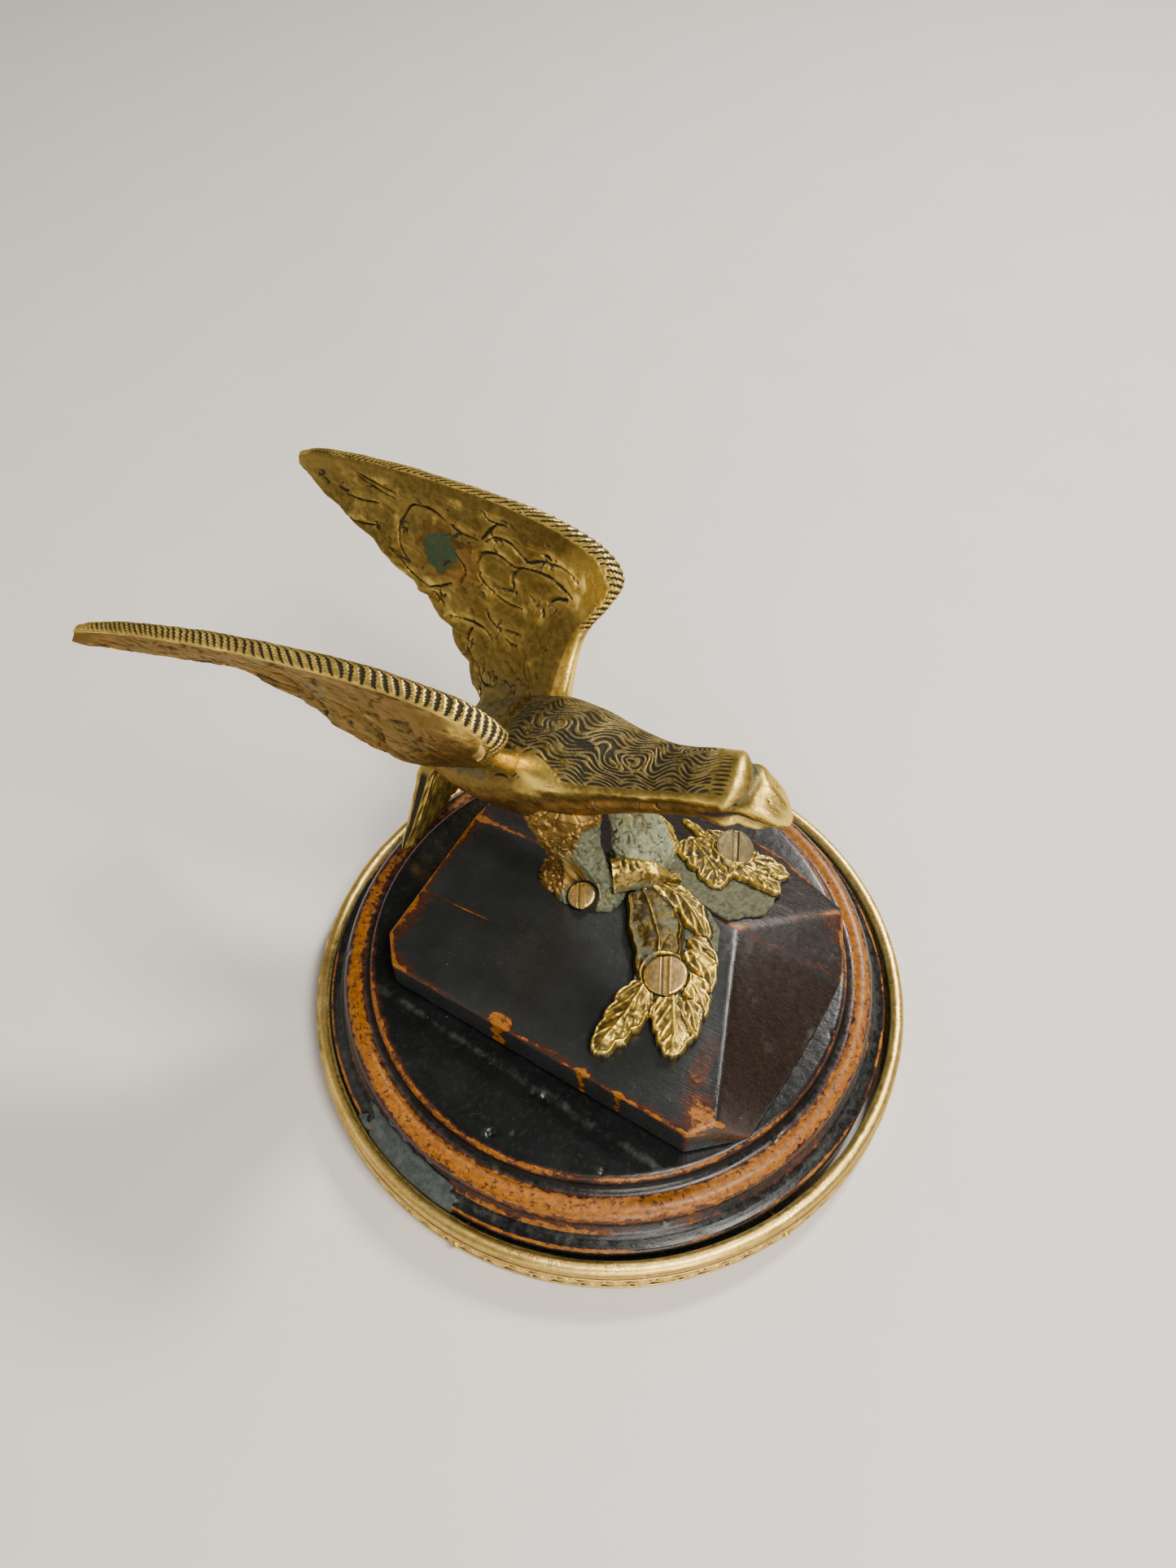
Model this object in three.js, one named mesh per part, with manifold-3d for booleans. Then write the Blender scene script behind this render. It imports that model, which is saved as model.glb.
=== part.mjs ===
// A brass car mascot: an eagle with raised wings, perched on a leafy oak branch.
// It was taken off its radiator cap and screwed to a carved wooden rock on a turned
// plinth, with a brass rim round the foot of the plinth.
//
// Millimetres. +X is the way the eagle faces, +Y is to its left, +Z is up.
// The origin is the centre of the underside, where the felt pad rests on a table.

import * as THREE from 'three';
import { mergeVertices } from 'three/addons/utils/BufferGeometryUtils.js';
import Module from 'manifold-3d';

const wasm = await Module();
wasm.setup();

// ---------------------------------------------------------------- driving dimensions

const GAP = 0.3; // clearance between pieces that touch
const TURNED_STEPS = 60; // facets round the plinth and the rim

const PAD = { radius: 56, thickness: 1.2 };

const PLINTH = {
  underside: PAD.thickness + GAP,
  outerRadius: 57.7,
  filletTop: 9, // top of the plain band that the brass rim hides
  beadRadius: 2.5, // the half-round moulding above the hollow
  beadCentre: [51.6, 14],
  plateauRadius: 48,
  plateauTop: 19.5,
};

const RIM = {
  offset: [0.35, 0.35], // the rim sits a little off centre
  innerRadius: 58.5,
  outerRadius: 61.3,
  bottom: 0.5,
  bandTop: 5.6,
  beadTop: 8.4,
};

const PIN = { count: 6, height: 3, headRadius: 0.9, shankRadius: 0.5, length: 5 };

const ROCK = {
  floor: PLINTH.plateauTop + GAP,
  rearTop: 27,
  frontTop: 28.5,
  lip: 0.7, // least height of the block where a slope meets the plateau
  frontSteps: 40, // facets of the front slope
};

const ROCK_SCREW = {
  places: [[-24, -10], [24, 4]],
  face: 3.8,
  headRadius: 4,
  headHeight: 2.4,
  shankRadius: 2,
  length: 21,
  slotWidth: 1.2,
};
const COUNTERBORE = { radius: 4.6, depth: ROCK_SCREW.face + ROCK_SCREW.headHeight + GAP };

// The eagle is symmetrical about a vertical plane that stands to the left of the origin.
const EAGLE_Y = 13.9;

// Stations of the body from rump to beak: x, z, half width, half depth.
const BODY_STATIONS = [
  [-46.5, 43.5, 4.6, 3],
  [-43, 44.5, 7.4, 5.2],
  [-36, 47, 10, 7.6],
  [-28, 50, 11.6, 9.6],
  [-19, 53.6, 11.9, 10.7],
  [-11, 56.6, 10.2, 9.5],
  [-4, 58.6, 8.2, 7.2],
  [3, 60.6, 6.7, 6],
  [8.5, 62.9, 6, 5.8],
  [12.5, 64.7, 6.1, 5.9],
  [16, 66.1, 6, 5.7],
  [18.6, 66.5, 5.2, 5],
  [20.6, 66, 4.3, 4.3],
  [22.8, 65, 3.7, 3.8],
  [24.9, 63.7, 2.8, 3],
  [26.3, 62.6, 1.9, 2.1],
  [27.1, 61.5, 0.9, 1],
];

// Stations of a wing from root to tip, as distances from the plane of symmetry:
// leading edge x, side, z; trailing edge x, side, z; thickness.
const WING_STATIONS = [
  [-19, 6, 58, -42, 4, 45, 5.5],
  [-18.6, 11.8, 65, -43, 10, 48, 5.4],
  [-18, 15.6, 72, -48.5, 13.6, 52.5, 5],
  [-15.6, 19.4, 79, -53, 16, 57.5, 4.8],
  [-17.2, 21, 85, -58.5, 17.6, 62.5, 4.6],
  [-24.5, 22.3, 88.6, -64, 18, 65.5, 4.2],
  [-37, 23.7, 89.6, -70, 19.8, 69, 3.8],
  [-52, 25.3, 88.4, -77, 22.2, 70.3, 3.4],
  [-67, 26.9, 86.2, -85, 25.4, 70.8, 3],
  [-80, 28.5, 83.4, -90.5, 27.8, 71.4, 2.6],
  [-90.5, 29.5, 80.4, -95.4, 29.9, 72.2, 2.2],
  [-96, 29.8, 77.6, -98, 31, 73.4, 1.6],
];

const WING_REACH = { left: 1, right: 1.055 }; // the right wing is cast a little longer
const WRIST_X = -17; // the reach is measured back from here

// Stations of the tail from root to tip: x, z, half width, half thickness.
const TAIL_STATIONS = [
  [-41, 47, 5, 2.6],
  [-44.6, 43, 7, 2.6],
  [-46, 37, 9.6, 2.2],
  [-47, 30, 12.8, 1.7],
  [-47.8, 24, 15.6, 1.3],
  [-48.2, 21.5, 15.4, 0.8],
];

// Stations of a leg from hip to sole: x, distance outwards, z, half length, half width.
const RIGHT_LEG = [
  [-14, 6.4, 52, 8.5, 5.2],
  [-14.2, 6.9, 47, 8, 5],
  [-13.4, 7.2, 42, 7, 4.7],
  [-11.4, 7.2, 37, 6.2, 4.3],
  [-10.2, 7.2, 33, 6.2, 4.2],
  [-9.6, 7.6, 30.6, 7.6, 4.8],
  [-9.2, 8, 29, 9.2, 5.4],
  [-9.2, 8.2, 26, 9.9, 5.8],
];
const LEFT_LEG = [
  [-9.4, 6, 52, 6.5, 4.6],
  [-7.4, 5.8, 45, 5.6, 4.4],
  [-4.2, 5.2, 38, 5.2, 5],
  [-2.6, 4.6, 33, 5.4, 6.2],
  [-2, 4.4, 29, 6, 7.2],
  [-2, 4.4, 24, 6.4, 7.4],
];

// The cut branch runs from its sawn stub to the fork of the two leafy sprays.
// Stations of its axis: x, y, z, radius.
const STEM_STATIONS = [
  [-3.6, 8.2, 31.2, 3.7],
  [-1.2, 9.8, 31.3, 3.6],
  [0.8, 11.3, 30.9, 3.2],
  [3, 12.9, 29.9, 2.7],
  [5.4, 14.4, 28.5, 2.1],
];

const LEAF_THICKNESS = 2.3;
const SPRAY = {
  front: [[2.4, 6.4], [5.2, -0.6], [7.6, -8], [8.4, -12], [8.4, -19], [9.6, -26], [12.6, -26.4],
    [15.4, -21.6], [17.4, -18], [19.4, -20.4], [22.4, -21.4], [25.4, -20], [26.6, -15.6],
    [25.4, -8.6], [24, -3], [21.4, 4], [17.4, 9.6], [12.6, 11.2], [8, 11], [4.6, 9.4]],
  rear: [[6.8, 13.6], [12.4, 12.4], [17.8, 11], [21.6, 12.6], [26.2, 17.6], [27, 22.6],
    [26.4, 27.6], [22, 31.4], [17, 33.6], [11.2, 34.8], [6.8, 34.8], [1, 33.6], [-1.8, 30.4],
    [1.6, 25.6], [5, 20.6]],
};

const LEAF_SCREW = {
  headRadius: 4.15,
  headHeight: 2.6,
  shankRadius: 1.9,
  length: 11,
  slotWidth: 1.5,
};
const FOOT_SCREW = { headRadius: 2.8, headHeight: 1.8, shankRadius: 1.1, length: 7.5, slotWidth: 1.3 };

// Centre of each screw's face, and how far its head leans towards X and Y in degrees.
const FRONT_SCREW_POSE = { at: [15.4, -6.6, 30.7], lean: [4, -9] };
const REAR_SCREW_POSE = { at: [14, 31, 23.8], lean: [0, 17] };
const FOOT_SCREW_POSE = { at: [-7.2, 1.9, 30.4], lean: [16, -10] };
const SLOT_TURN = 24; // degrees from Y to the way the slots of these three screws point

// ---------------------------------------------------------------- shape helpers

function solidOf(geometry) {
  const bare = geometry.clone();
  bare.deleteAttribute('normal');
  bare.deleteAttribute('uv');
  const merged = mergeVertices(bare, 1e-4);
  return new wasm.Manifold(new wasm.Mesh({
    numProp: 3,
    vertProperties: new Float32Array(merged.attributes.position.array),
    triVerts: new Uint32Array(merged.index.array),
  }));
}

function geometryOf(solid) {
  const mesh = solid.getMesh();
  const geometry = new THREE.BufferGeometry();
  geometry.setAttribute('position', new THREE.BufferAttribute(mesh.vertProperties, 3));
  geometry.setIndex(new THREE.BufferAttribute(mesh.triVerts, 1));
  const flat = geometry.toNonIndexed();
  flat.computeVertexNormals();
  return flat;
}

// Turns a profile of [radius, height] points round the Z axis.
function turned(profile, steps = TURNED_STEPS) {
  const points = profile.map(([radius, height]) => new THREE.Vector2(radius, height));
  return new THREE.LatheGeometry(points, steps).rotateX(Math.PI / 2);
}

function arc(centre, radius, fromDegrees, toDegrees, steps) {
  const points = [];
  for (let step = 0; step <= steps; step += 1) {
    const angle = THREE.MathUtils.degToRad(fromDegrees + ((toDegrees - fromDegrees) * step) / steps);
    points.push([centre[0] + radius * Math.cos(angle), centre[1] + radius * Math.sin(angle)]);
  }
  return points;
}

// A closed cylinder whose rings are moved to the stations. A station has a centre and two
// half axes, and the way along the stations crossed with the first axis gives the second.
// A taper above 0 makes the section thicker towards the first axis.
function lofted(stations, sides, taper = 0) {
  const geometry = new THREE.CylinderGeometry(1, 1, stations.length - 1, sides, stations.length - 1);
  const position = geometry.attributes.position;
  const place = new THREE.Vector3();
  for (let index = 0; index < position.count; index += 1) {
    place.fromBufferAttribute(position, index);
    const row = Math.round((stations.length - 1) / 2 - place.y);
    const { centre, first, second } = stations[row];
    const thickness = place.z * (1 - taper + taper * place.x);
    place.set(...centre.toArray())
      .addScaledVector(first, position.getX(index))
      .addScaledVector(second, thickness);
    position.setXYZ(index, place.x, place.y, place.z);
  }
  return solidOf(geometry);
}

// A cylinder, standing on its foot, for boring holes.
function bore(radius, bottom, top, [x, y] = [0, 0]) {
  const drill = new THREE.CylinderGeometry(radius, radius, top - bottom, 24);
  drill.rotateX(Math.PI / 2).translate(x, y, (top + bottom) / 2);
  return solidOf(drill);
}

function prism(outline, bottom, top) {
  const shape = new THREE.Shape(outline.map(([x, y]) => new THREE.Vector2(x, y)));
  const geometry = new THREE.ExtrudeGeometry(shape, { depth: top - bottom, bevelEnabled: false });
  return solidOf(geometry.translate(0, 0, bottom));
}

// A countersunk screw with its face at height 0 and its point down. grow widens it all
// round, and gives the hole that it goes in.
function screwSolid(screw, grow = 0) {
  const head = screw.headRadius + grow;
  const shank = screw.shankRadius + grow;
  const rim = 0.5;
  const pointHeight = 1.6;
  const top = grow > 0 ? 6 : 0; // a hole is open above its screw's face
  const body = solidOf(turned([
    [0, -screw.length - grow],
    [shank, pointHeight - screw.length],
    [shank, -screw.headHeight],
    [head, -rim],
    [head, top],
    [0, top],
  ], 24));
  if (grow > 0) return body;
  const slotDepth = screw.headHeight * 0.4;
  const slot = new THREE.BoxGeometry(screw.slotWidth, screw.headRadius * 3, slotDepth * 2);
  return body.subtract(solidOf(slot));
}

// The screw's slot runs along its own Y. The head leans over, then turns about its axis.
function screwPlace(pose) {
  const lean = new THREE.Euler(
    THREE.MathUtils.degToRad(-pose.lean[1]),
    THREE.MathUtils.degToRad(pose.lean[0]),
    THREE.MathUtils.degToRad(SLOT_TURN),
  );
  return new THREE.Matrix4().makeRotationFromEuler(lean).setPosition(...pose.at);
}

function placed(solid, matrix) {
  return solid.transform(matrix.elements);
}

// ---------------------------------------------------------------- the wooden base

function padSolid() {
  return solidOf(turned([[0, 0], [PAD.radius, 0], [PAD.radius, PAD.thickness], [0, PAD.thickness]]));
}

function plinthSolid() {
  const { underside, outerRadius, filletTop, beadRadius, beadCentre } = PLINTH;
  const { plateauRadius, plateauTop } = PLINTH;
  const profile = [
    [0, underside],
    [outerRadius - 0.4, underside],
    [outerRadius, underside + 0.4],
    [outerRadius, filletTop],
    [56.4, filletTop + 0.5],
    [55, filletTop + 1.4],
    ...arc(beadCentre, beadRadius, -40, 115, 8),
    [49.4, 16.4],
    [48.5, 17],
    [48.1, 18],
    [plateauRadius, plateauTop - 0.4],
    [plateauRadius - 0.4, plateauTop],
    [0, plateauTop],
  ];
  let solid = solidOf(turned(profile));
  for (const place of ROCK_SCREW.places) {
    solid = solid.subtract(bore(COUNTERBORE.radius, underside - 1, COUNTERBORE.depth, place));
    solid = solid.subtract(bore(ROCK_SCREW.shankRadius + GAP, underside, plateauTop + 1, place));
  }
  for (const angle of pinAngles()) solid = solid.subtract(pinHole(angle));
  for (const hole of leafScrewHoles()) solid = solid.subtract(hole);
  return solid;
}

// Points at even shares of the way along a line through the corners.
function spread(corners, steps) {
  const line = new THREE.CurvePath();
  for (let corner = 1; corner < corners.length; corner += 1) {
    const ends = [corners[corner - 1], corners[corner]].map((end) => new THREE.Vector3(...end));
    line.add(new THREE.LineCurve3(...ends));
  }
  return line.getSpacedPoints(steps).map((point) => point.toArray());
}

// The rock's outline stands on the plateau, each point with its height. The front slope is
// ruled between the ridge, from nose to peak, and the edge of the plateau.
function rockSolid() {
  const { floor, rearTop, frontTop, lip, frontSteps } = ROCK;
  const foot = floor + lip;
  const front = spread(
    [[41.5, -24, foot], [43.2, -10, foot], [44.4, 4, foot], [44.8, 14.6, foot]],
    frontSteps,
  );
  const perimeter = [
    [-37.6, -21.7, rearTop], [-33, -27.6, rearTop], [32, -32, frontTop - 0.3],
    ...front,
    [39.4, 29.6, foot + 0.4], [22.5, 36.4, foot], [13, 38, foot], [-31, 34.4, foot],
    [-37.6, 27.6, foot + 1.4], [-37.6, 10.8, rearTop],
  ];
  const ridge = spread([[35.8, -27.8, frontTop], [22.6, 10.8, frontTop]], frontSteps);
  const count = perimeter.length;
  const vertices = [...perimeter, ...ridge, ...perimeter.map(([x, y]) => [x, y, floor])];
  const nose = count;
  const peak = nose + frontSteps;
  const firstFront = 3;
  const triangles = [
    [0, 1, peak], [1, 2, nose], [0, peak, count - 1], [2, firstFront, nose],
  ];
  for (let step = 0; step < frontSteps; step += 1) {
    const [high, low] = [nose + step, firstFront + step];
    triangles.push([1, high, high + 1], [high, low, low + 1], [high, low + 1, high + 1]);
  }
  for (let corner = firstFront + frontSteps; corner < count - 1; corner += 1) {
    triangles.push([peak, corner, corner + 1]);
  }
  const under = peak + 1;
  for (let corner = 0; corner < count; corner += 1) {
    const next = (corner + 1) % count;
    triangles.push([corner, under + corner, under + next], [corner, under + next, next]);
    if (corner > 0 && next > 0) triangles.push([under, under + next, under + corner]);
  }
  const geometry = new THREE.BufferGeometry();
  geometry.setAttribute('position', new THREE.Float32BufferAttribute(vertices.flat(), 3));
  geometry.setIndex(triangles.flat());
  return solidOf(geometry);
}

function rockWithHoles(rock) {
  let solid = rock;
  for (const place of ROCK_SCREW.places) {
    const top = ROCK_SCREW.face + ROCK_SCREW.length + GAP;
    solid = solid.subtract(bore(ROCK_SCREW.shankRadius + GAP, ROCK.floor - 1, top, place));
  }
  for (const hole of leafScrewHoles()) solid = solid.subtract(hole);
  return solid;
}

function rockScrewSolid([x, y]) {
  const upsideDown = new THREE.Matrix4().makeRotationX(Math.PI).setPosition(x, y, ROCK_SCREW.face);
  return placed(screwSolid(ROCK_SCREW), upsideDown);
}

// ---------------------------------------------------------------- the brass rim

function pinAngles() {
  return Array.from({ length: PIN.count }, (unused, index) => ((index + 0.5) * 2 * Math.PI) / PIN.count);
}

// A round-headed pin, lying along a radius of the rim.
function pinPlace(angle) {
  const outwards = new THREE.Matrix4().makeRotationY(Math.PI / 2);
  const radius = RIM.outerRadius;
  return new THREE.Matrix4().makeTranslation(RIM.offset[0], RIM.offset[1], PIN.height)
    .multiply(new THREE.Matrix4().makeRotationZ(angle))
    .multiply(new THREE.Matrix4().makeTranslation(radius, 0, 0))
    .multiply(outwards);
}

function pinSolid(angle) {
  const pin = solidOf(turned([
    [0, -PIN.length],
    [PIN.shankRadius, 1 - PIN.length],
    [PIN.shankRadius, 0.1],
    ...arc([0, 0.1], PIN.headRadius, 0, 90, 3),
  ], 12));
  return placed(pin, pinPlace(angle));
}

function pinHole(angle) {
  const radius = PIN.shankRadius + GAP;
  return placed(bore(radius, -PIN.length - GAP, 3), pinPlace(angle));
}

function rimBandSolid() {
  const { innerRadius, outerRadius, bottom, bandTop, offset } = RIM;
  let solid = solidOf(turned([
    [innerRadius, bottom],
    [outerRadius, bottom],
    [outerRadius, bottom + 0.9],
    [outerRadius - 0.5, bottom + 1.4],
    [outerRadius - 0.5, bandTop - 0.8],
    [outerRadius - 0.8, bandTop],
    [innerRadius, bandTop],
    [innerRadius, bottom],
  ])).translate([offset[0], offset[1], 0]);
  for (const angle of pinAngles()) solid = solid.subtract(pinHole(angle));
  return solid;
}

function rimBeadSolid() {
  const { innerRadius, bandTop, beadTop, offset } = RIM;
  const bottom = bandTop + GAP;
  const radius = (beadTop - bottom) / 2;
  const centre = [innerRadius + radius - 0.1, bottom + radius];
  return solidOf(turned([
    [innerRadius, bottom],
    ...arc(centre, radius, -90, 90, 6),
    [innerRadius, beadTop - 0.4],
    [innerRadius, bottom],
  ])).translate([offset[0], offset[1], 0]);
}

// ---------------------------------------------------------------- the eagle

// Stations that follow a curve in a plane parallel to XZ.
function spineStations(rows, y, grow = 0) {
  return rows.map(([x, z, halfWidth, halfDepth], index) => {
    const before = rows[Math.max(index - 1, 0)];
    const after = rows[Math.min(index + 1, rows.length - 1)];
    const along = new THREE.Vector3(after[0] - before[0], 0, after[1] - before[1]).normalize();
    const across = new THREE.Vector3(0, 1, 0);
    return {
      centre: new THREE.Vector3(x, y, z),
      first: across.clone().multiplyScalar(halfWidth + grow),
      second: along.clone().cross(across).multiplyScalar(halfDepth + grow),
    };
  });
}

function bodySolid(grow = 0) {
  return lofted(spineStations(BODY_STATIONS, EAGLE_Y, grow), 24);
}

function wingSolid(side, reach) {
  const stretched = (x) => (x < WRIST_X ? WRIST_X + (x - WRIST_X) * reach : x);
  const rows = WING_STATIONS.map((row) => [
    stretched(row[0]), row[1], row[2], stretched(row[3]), row[4], row[5], row[6],
  ]);
  const stations = rows.map((row, index) => {
    const [before, after] = [Math.max(index - 1, 0), Math.min(index + 1, rows.length - 1)];
    const leading = new THREE.Vector3(row[0], EAGLE_Y + side * row[1], row[2]);
    const trailing = new THREE.Vector3(row[3], EAGLE_Y + side * row[4], row[5]);
    const middle = (other) => new THREE.Vector3(
      (other[0] + other[3]) / 2,
      EAGLE_Y + (side * (other[1] + other[4])) / 2,
      (other[2] + other[5]) / 2,
    );
    const span = middle(rows[after]).sub(middle(rows[before]));
    const chord = leading.clone().sub(trailing);
    const normal = span.cross(chord).normalize().multiplyScalar(row[6] / 2);
    return {
      centre: leading.clone().add(trailing).multiplyScalar(0.5),
      first: chord.multiplyScalar(0.5),
      second: normal,
    };
  });
  return lofted(stations, 20, 0.4).subtract(bodySolid(GAP));
}

function tailSolid() {
  return lofted(spineStations(TAIL_STATIONS, EAGLE_Y), 20).subtract(bodySolid(GAP));
}

function legSolid(rows, side, stops) {
  const stations = rows.map(([x, out, z, halfLength, halfWidth]) => ({
    centre: new THREE.Vector3(x, EAGLE_Y + side * out, z),
    first: new THREE.Vector3(halfLength, 0, 0),
    second: new THREE.Vector3(0, -halfWidth, 0),
  }));
  return stops.reduce((leg, stop) => leg.subtract(stop), lofted(stations, 18));
}

// ---------------------------------------------------------------- the branch

function stemSolid(grow = 0) {
  const path = STEM_STATIONS.map(([x, y, z]) => new THREE.Vector3(x, y, z));
  const stations = path.map((centre, index) => {
    const before = path[Math.max(index - 1, 0)];
    const after = path[Math.min(index + 1, path.length - 1)];
    const along = after.clone().sub(before).normalize();
    const across = new THREE.Vector3(0, 0, 1).cross(along).normalize();
    return {
      centre: centre.clone().addScaledVector(along, index === 0 ? -grow : 0),
      first: across.clone().multiplyScalar(STEM_STATIONS[index][3] + grow),
      second: along.clone().cross(across).multiplyScalar(STEM_STATIONS[index][3] + grow),
    };
  });
  return lofted(stations, 16);
}

// A spray lies on the rock, so it is a slice of the space just above the rock.
function spraySolid(outline, rock) {
  const bottom = rock.translate([0, 0, GAP]);
  const top = rock.translate([0, 0, GAP + LEAF_THICKNESS]);
  return prism(outline, ROCK.floor + 2, 40).intersect(top.subtract(bottom));
}

function leafScrewHoles() {
  return [
    placed(screwSolid(LEAF_SCREW, GAP), screwPlace(FRONT_SCREW_POSE)),
    placed(screwSolid(LEAF_SCREW, GAP), screwPlace(REAR_SCREW_POSE)),
    placed(screwSolid(FOOT_SCREW, GAP), screwPlace(FOOT_SCREW_POSE)),
  ];
}

// ---------------------------------------------------------------- assembly

function finish(color, roughness, metalness) {
  return { color, roughness, metalness };
}
const FELT = finish(0x2c3a2c, 0.95, 0);
const EBONISED_WOOD = finish(0x1b1c1f, 0.4, 0);
const BRASS = finish(0x8f7434, 0.38, 1);
const RIM_BRASS = finish(0x7d6a3c, 0.45, 1);
const SCREW_BRASS = finish(0x7c6a52, 0.4, 1);
const STEEL = finish(0x70706c, 0.5, 1);

const mascot = new THREE.Group();

function addPiece(name, solid, look) {
  const mesh = new THREE.Mesh(geometryOf(solid), new THREE.MeshStandardMaterial(look));
  mesh.name = name;
  mascot.add(mesh);
}

const rock = rockSolid();
const rockClearance = rock.translate([0, 0, GAP]).add(rock);
const [frontHole, rearHole, footHole] = leafScrewHoles();
const stem = stemSolid().subtract(rockClearance);
const stemClearance = stemSolid(GAP);

addPiece('base_pad', padSolid(), FELT);
addPiece('plinth', plinthSolid(), EBONISED_WOOD);
addPiece('rock_block', rockWithHoles(rock), EBONISED_WOOD);
ROCK_SCREW.places.forEach((place, index) => {
  addPiece(`rock_screw_${index + 1}`, rockScrewSolid(place), STEEL);
});
addPiece('rim_band', rimBandSolid(), RIM_BRASS);
addPiece('rim_bead', rimBeadSolid(), RIM_BRASS);
pinAngles().forEach((angle, index) => {
  addPiece(`rim_pin_${index + 1}`, pinSolid(angle), RIM_BRASS);
});

const body = bodySolid();
const bodyClearance = bodySolid(GAP);
addPiece('eagle_body', body, BRASS);
addPiece('left_wing', wingSolid(1, WING_REACH.left), BRASS);
addPiece('right_wing', wingSolid(-1, WING_REACH.right), BRASS);
addPiece('tail_fan', tailSolid(), BRASS);
const legStops = [bodyClearance, rockClearance, stemClearance];
const rightLeg = legSolid(RIGHT_LEG, -1, legStops).subtract(footHole);
addPiece('right_leg', rightLeg, BRASS);
addPiece('left_leg', legSolid(LEFT_LEG, 1, legStops), BRASS);

addPiece('branch_stem', stem, BRASS);
const frontSpray = spraySolid(SPRAY.front, rock).subtract(stemClearance).subtract(frontHole);
addPiece('front_spray', frontSpray, BRASS);
const rearSpray = spraySolid(SPRAY.rear, rock).subtract(stemClearance).subtract(rearHole);
addPiece('rear_spray', rearSpray, BRASS);
addPiece('front_screw', placed(screwSolid(LEAF_SCREW), screwPlace(FRONT_SCREW_POSE)), SCREW_BRASS);
addPiece('rear_screw', placed(screwSolid(LEAF_SCREW), screwPlace(REAR_SCREW_POSE)), SCREW_BRASS);
addPiece('foot_screw', placed(screwSolid(FOOT_SCREW), screwPlace(FOOT_SCREW_POSE)), SCREW_BRASS);

export default mascot;
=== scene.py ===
"""A cast brass eagle hood ornament, screwed to a worn ebonised display plinth with a brass rim.

Lengths are in millimetres up to make_piece(), which writes metres. +X is the way the eagle faces,
+Y is its left and +Z is up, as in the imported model.
"""

import math

import bmesh
import bpy
import numpy as np
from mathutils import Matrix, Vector


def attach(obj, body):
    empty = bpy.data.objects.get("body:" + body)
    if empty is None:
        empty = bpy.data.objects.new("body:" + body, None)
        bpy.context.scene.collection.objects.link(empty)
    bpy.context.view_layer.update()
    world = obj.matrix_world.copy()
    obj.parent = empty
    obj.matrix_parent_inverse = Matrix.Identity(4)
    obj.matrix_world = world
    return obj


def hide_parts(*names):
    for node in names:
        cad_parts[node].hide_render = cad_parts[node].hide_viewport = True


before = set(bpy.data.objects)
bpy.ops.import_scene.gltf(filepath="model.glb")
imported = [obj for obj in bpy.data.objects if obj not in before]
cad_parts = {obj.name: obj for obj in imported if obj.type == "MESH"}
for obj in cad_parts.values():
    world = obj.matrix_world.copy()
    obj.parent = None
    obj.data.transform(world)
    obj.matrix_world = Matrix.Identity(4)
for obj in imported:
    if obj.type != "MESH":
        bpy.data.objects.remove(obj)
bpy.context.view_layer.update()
MM = 0.001


# ---------------------------------------------------------------- fields

def fade(x, start, end):
    """0 at start, 1 at end, with soft ends."""
    t = np.clip((x - start) / (end - start), 0, 1)
    return t * t * (3 - 2 * t)


def bump(x, centre, width):
    """1 at the centre, falling off smoothly over the width."""
    return np.exp(-(((x - centre) / width) ** 2))


def hashed(i, j, k, seed):
    """A repeatable number from 0 to 1 for each whole-number place."""
    n = (i * 73856093) ^ (j * 19349663) ^ (k * 83492791) ^ (seed * 2654435761)
    n = ((n ^ (n >> 13)) & 0x7FFFFFFF) * 1274126177 & 0xFFFFFFFF
    return ((n ^ (n >> 15)) & 0xFFFF) / 65535.0


def noise(points, size, seed=0):
    """Smooth noise from -1 to 1, in blotches of about this size."""
    q = np.asarray(points, float) / size
    cell = np.floor(q).astype(np.int64)
    f = q - cell
    f = f * f * (3 - 2 * f)
    total = np.zeros(q.shape[:-1])
    for a in (0, 1):
        for b in (0, 1):
            for c in (0, 1):
                share = (
                    np.where(a, f[..., 0], 1 - f[..., 0])
                    * np.where(b, f[..., 1], 1 - f[..., 1])
                    * np.where(c, f[..., 2], 1 - f[..., 2])
                )
                total += share * hashed(cell[..., 0] + a, cell[..., 1] + b, cell[..., 2] + c, seed)
    return total * 2 - 1


def fractal(points, size, seed=0, octaves=3):
    """Noise in several sizes, each half as large and half as strong as the last."""
    total = 0
    for k in range(octaves):
        total = total + noise(points, size / 2**k, seed + 31 * k) / 2**k
    return total / 1.5


def flat(x, y):
    """Points in the plane z = 0, for the noise of a surface's own two coordinates."""
    return np.stack([x, y, np.zeros_like(x)], -1)


def cells(u, v, seed, jitter=0.8):
    """Distance to the line between one hashed cell and the next, in cells, and a number for
    the cell."""
    iu = np.floor(u).astype(np.int64)
    iv = np.floor(v).astype(np.int64)
    near = np.full(u.shape, 9.0)
    second = near.copy()
    number = near * 0
    for a in (-1, 0, 1):
        for b in (-1, 0, 1):
            cu, cv = iu + a, iv + b
            du = cu + 0.5 + jitter * (hashed(cu, cv, 0, seed) - 0.5) - u
            dv = cv + 0.5 + jitter * (hashed(cu, cv, 0, seed + 1) - 0.5) - v
            d = np.hypot(du, dv)
            second = np.minimum(second, np.maximum(near, d))
            number = np.where(d < near, hashed(cu, cv, 0, seed + 2), number)
            near = np.minimum(near, d)
    return second - near, number


def around(angle, centre, width):
    """1 at the centre angle, falling off over the width, both in degrees."""
    away = (np.degrees(angle) - centre + 180) % 360 - 180
    return np.exp(-((away / width) ** 2))


def unit(vectors):
    return vectors / np.linalg.norm(vectors, axis=-1, keepdims=True)


def all_round(count):
    """This many even angles, from minus pi up to but not including pi."""
    return np.linspace(-np.pi, np.pi, count, endpoint=False)


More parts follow.
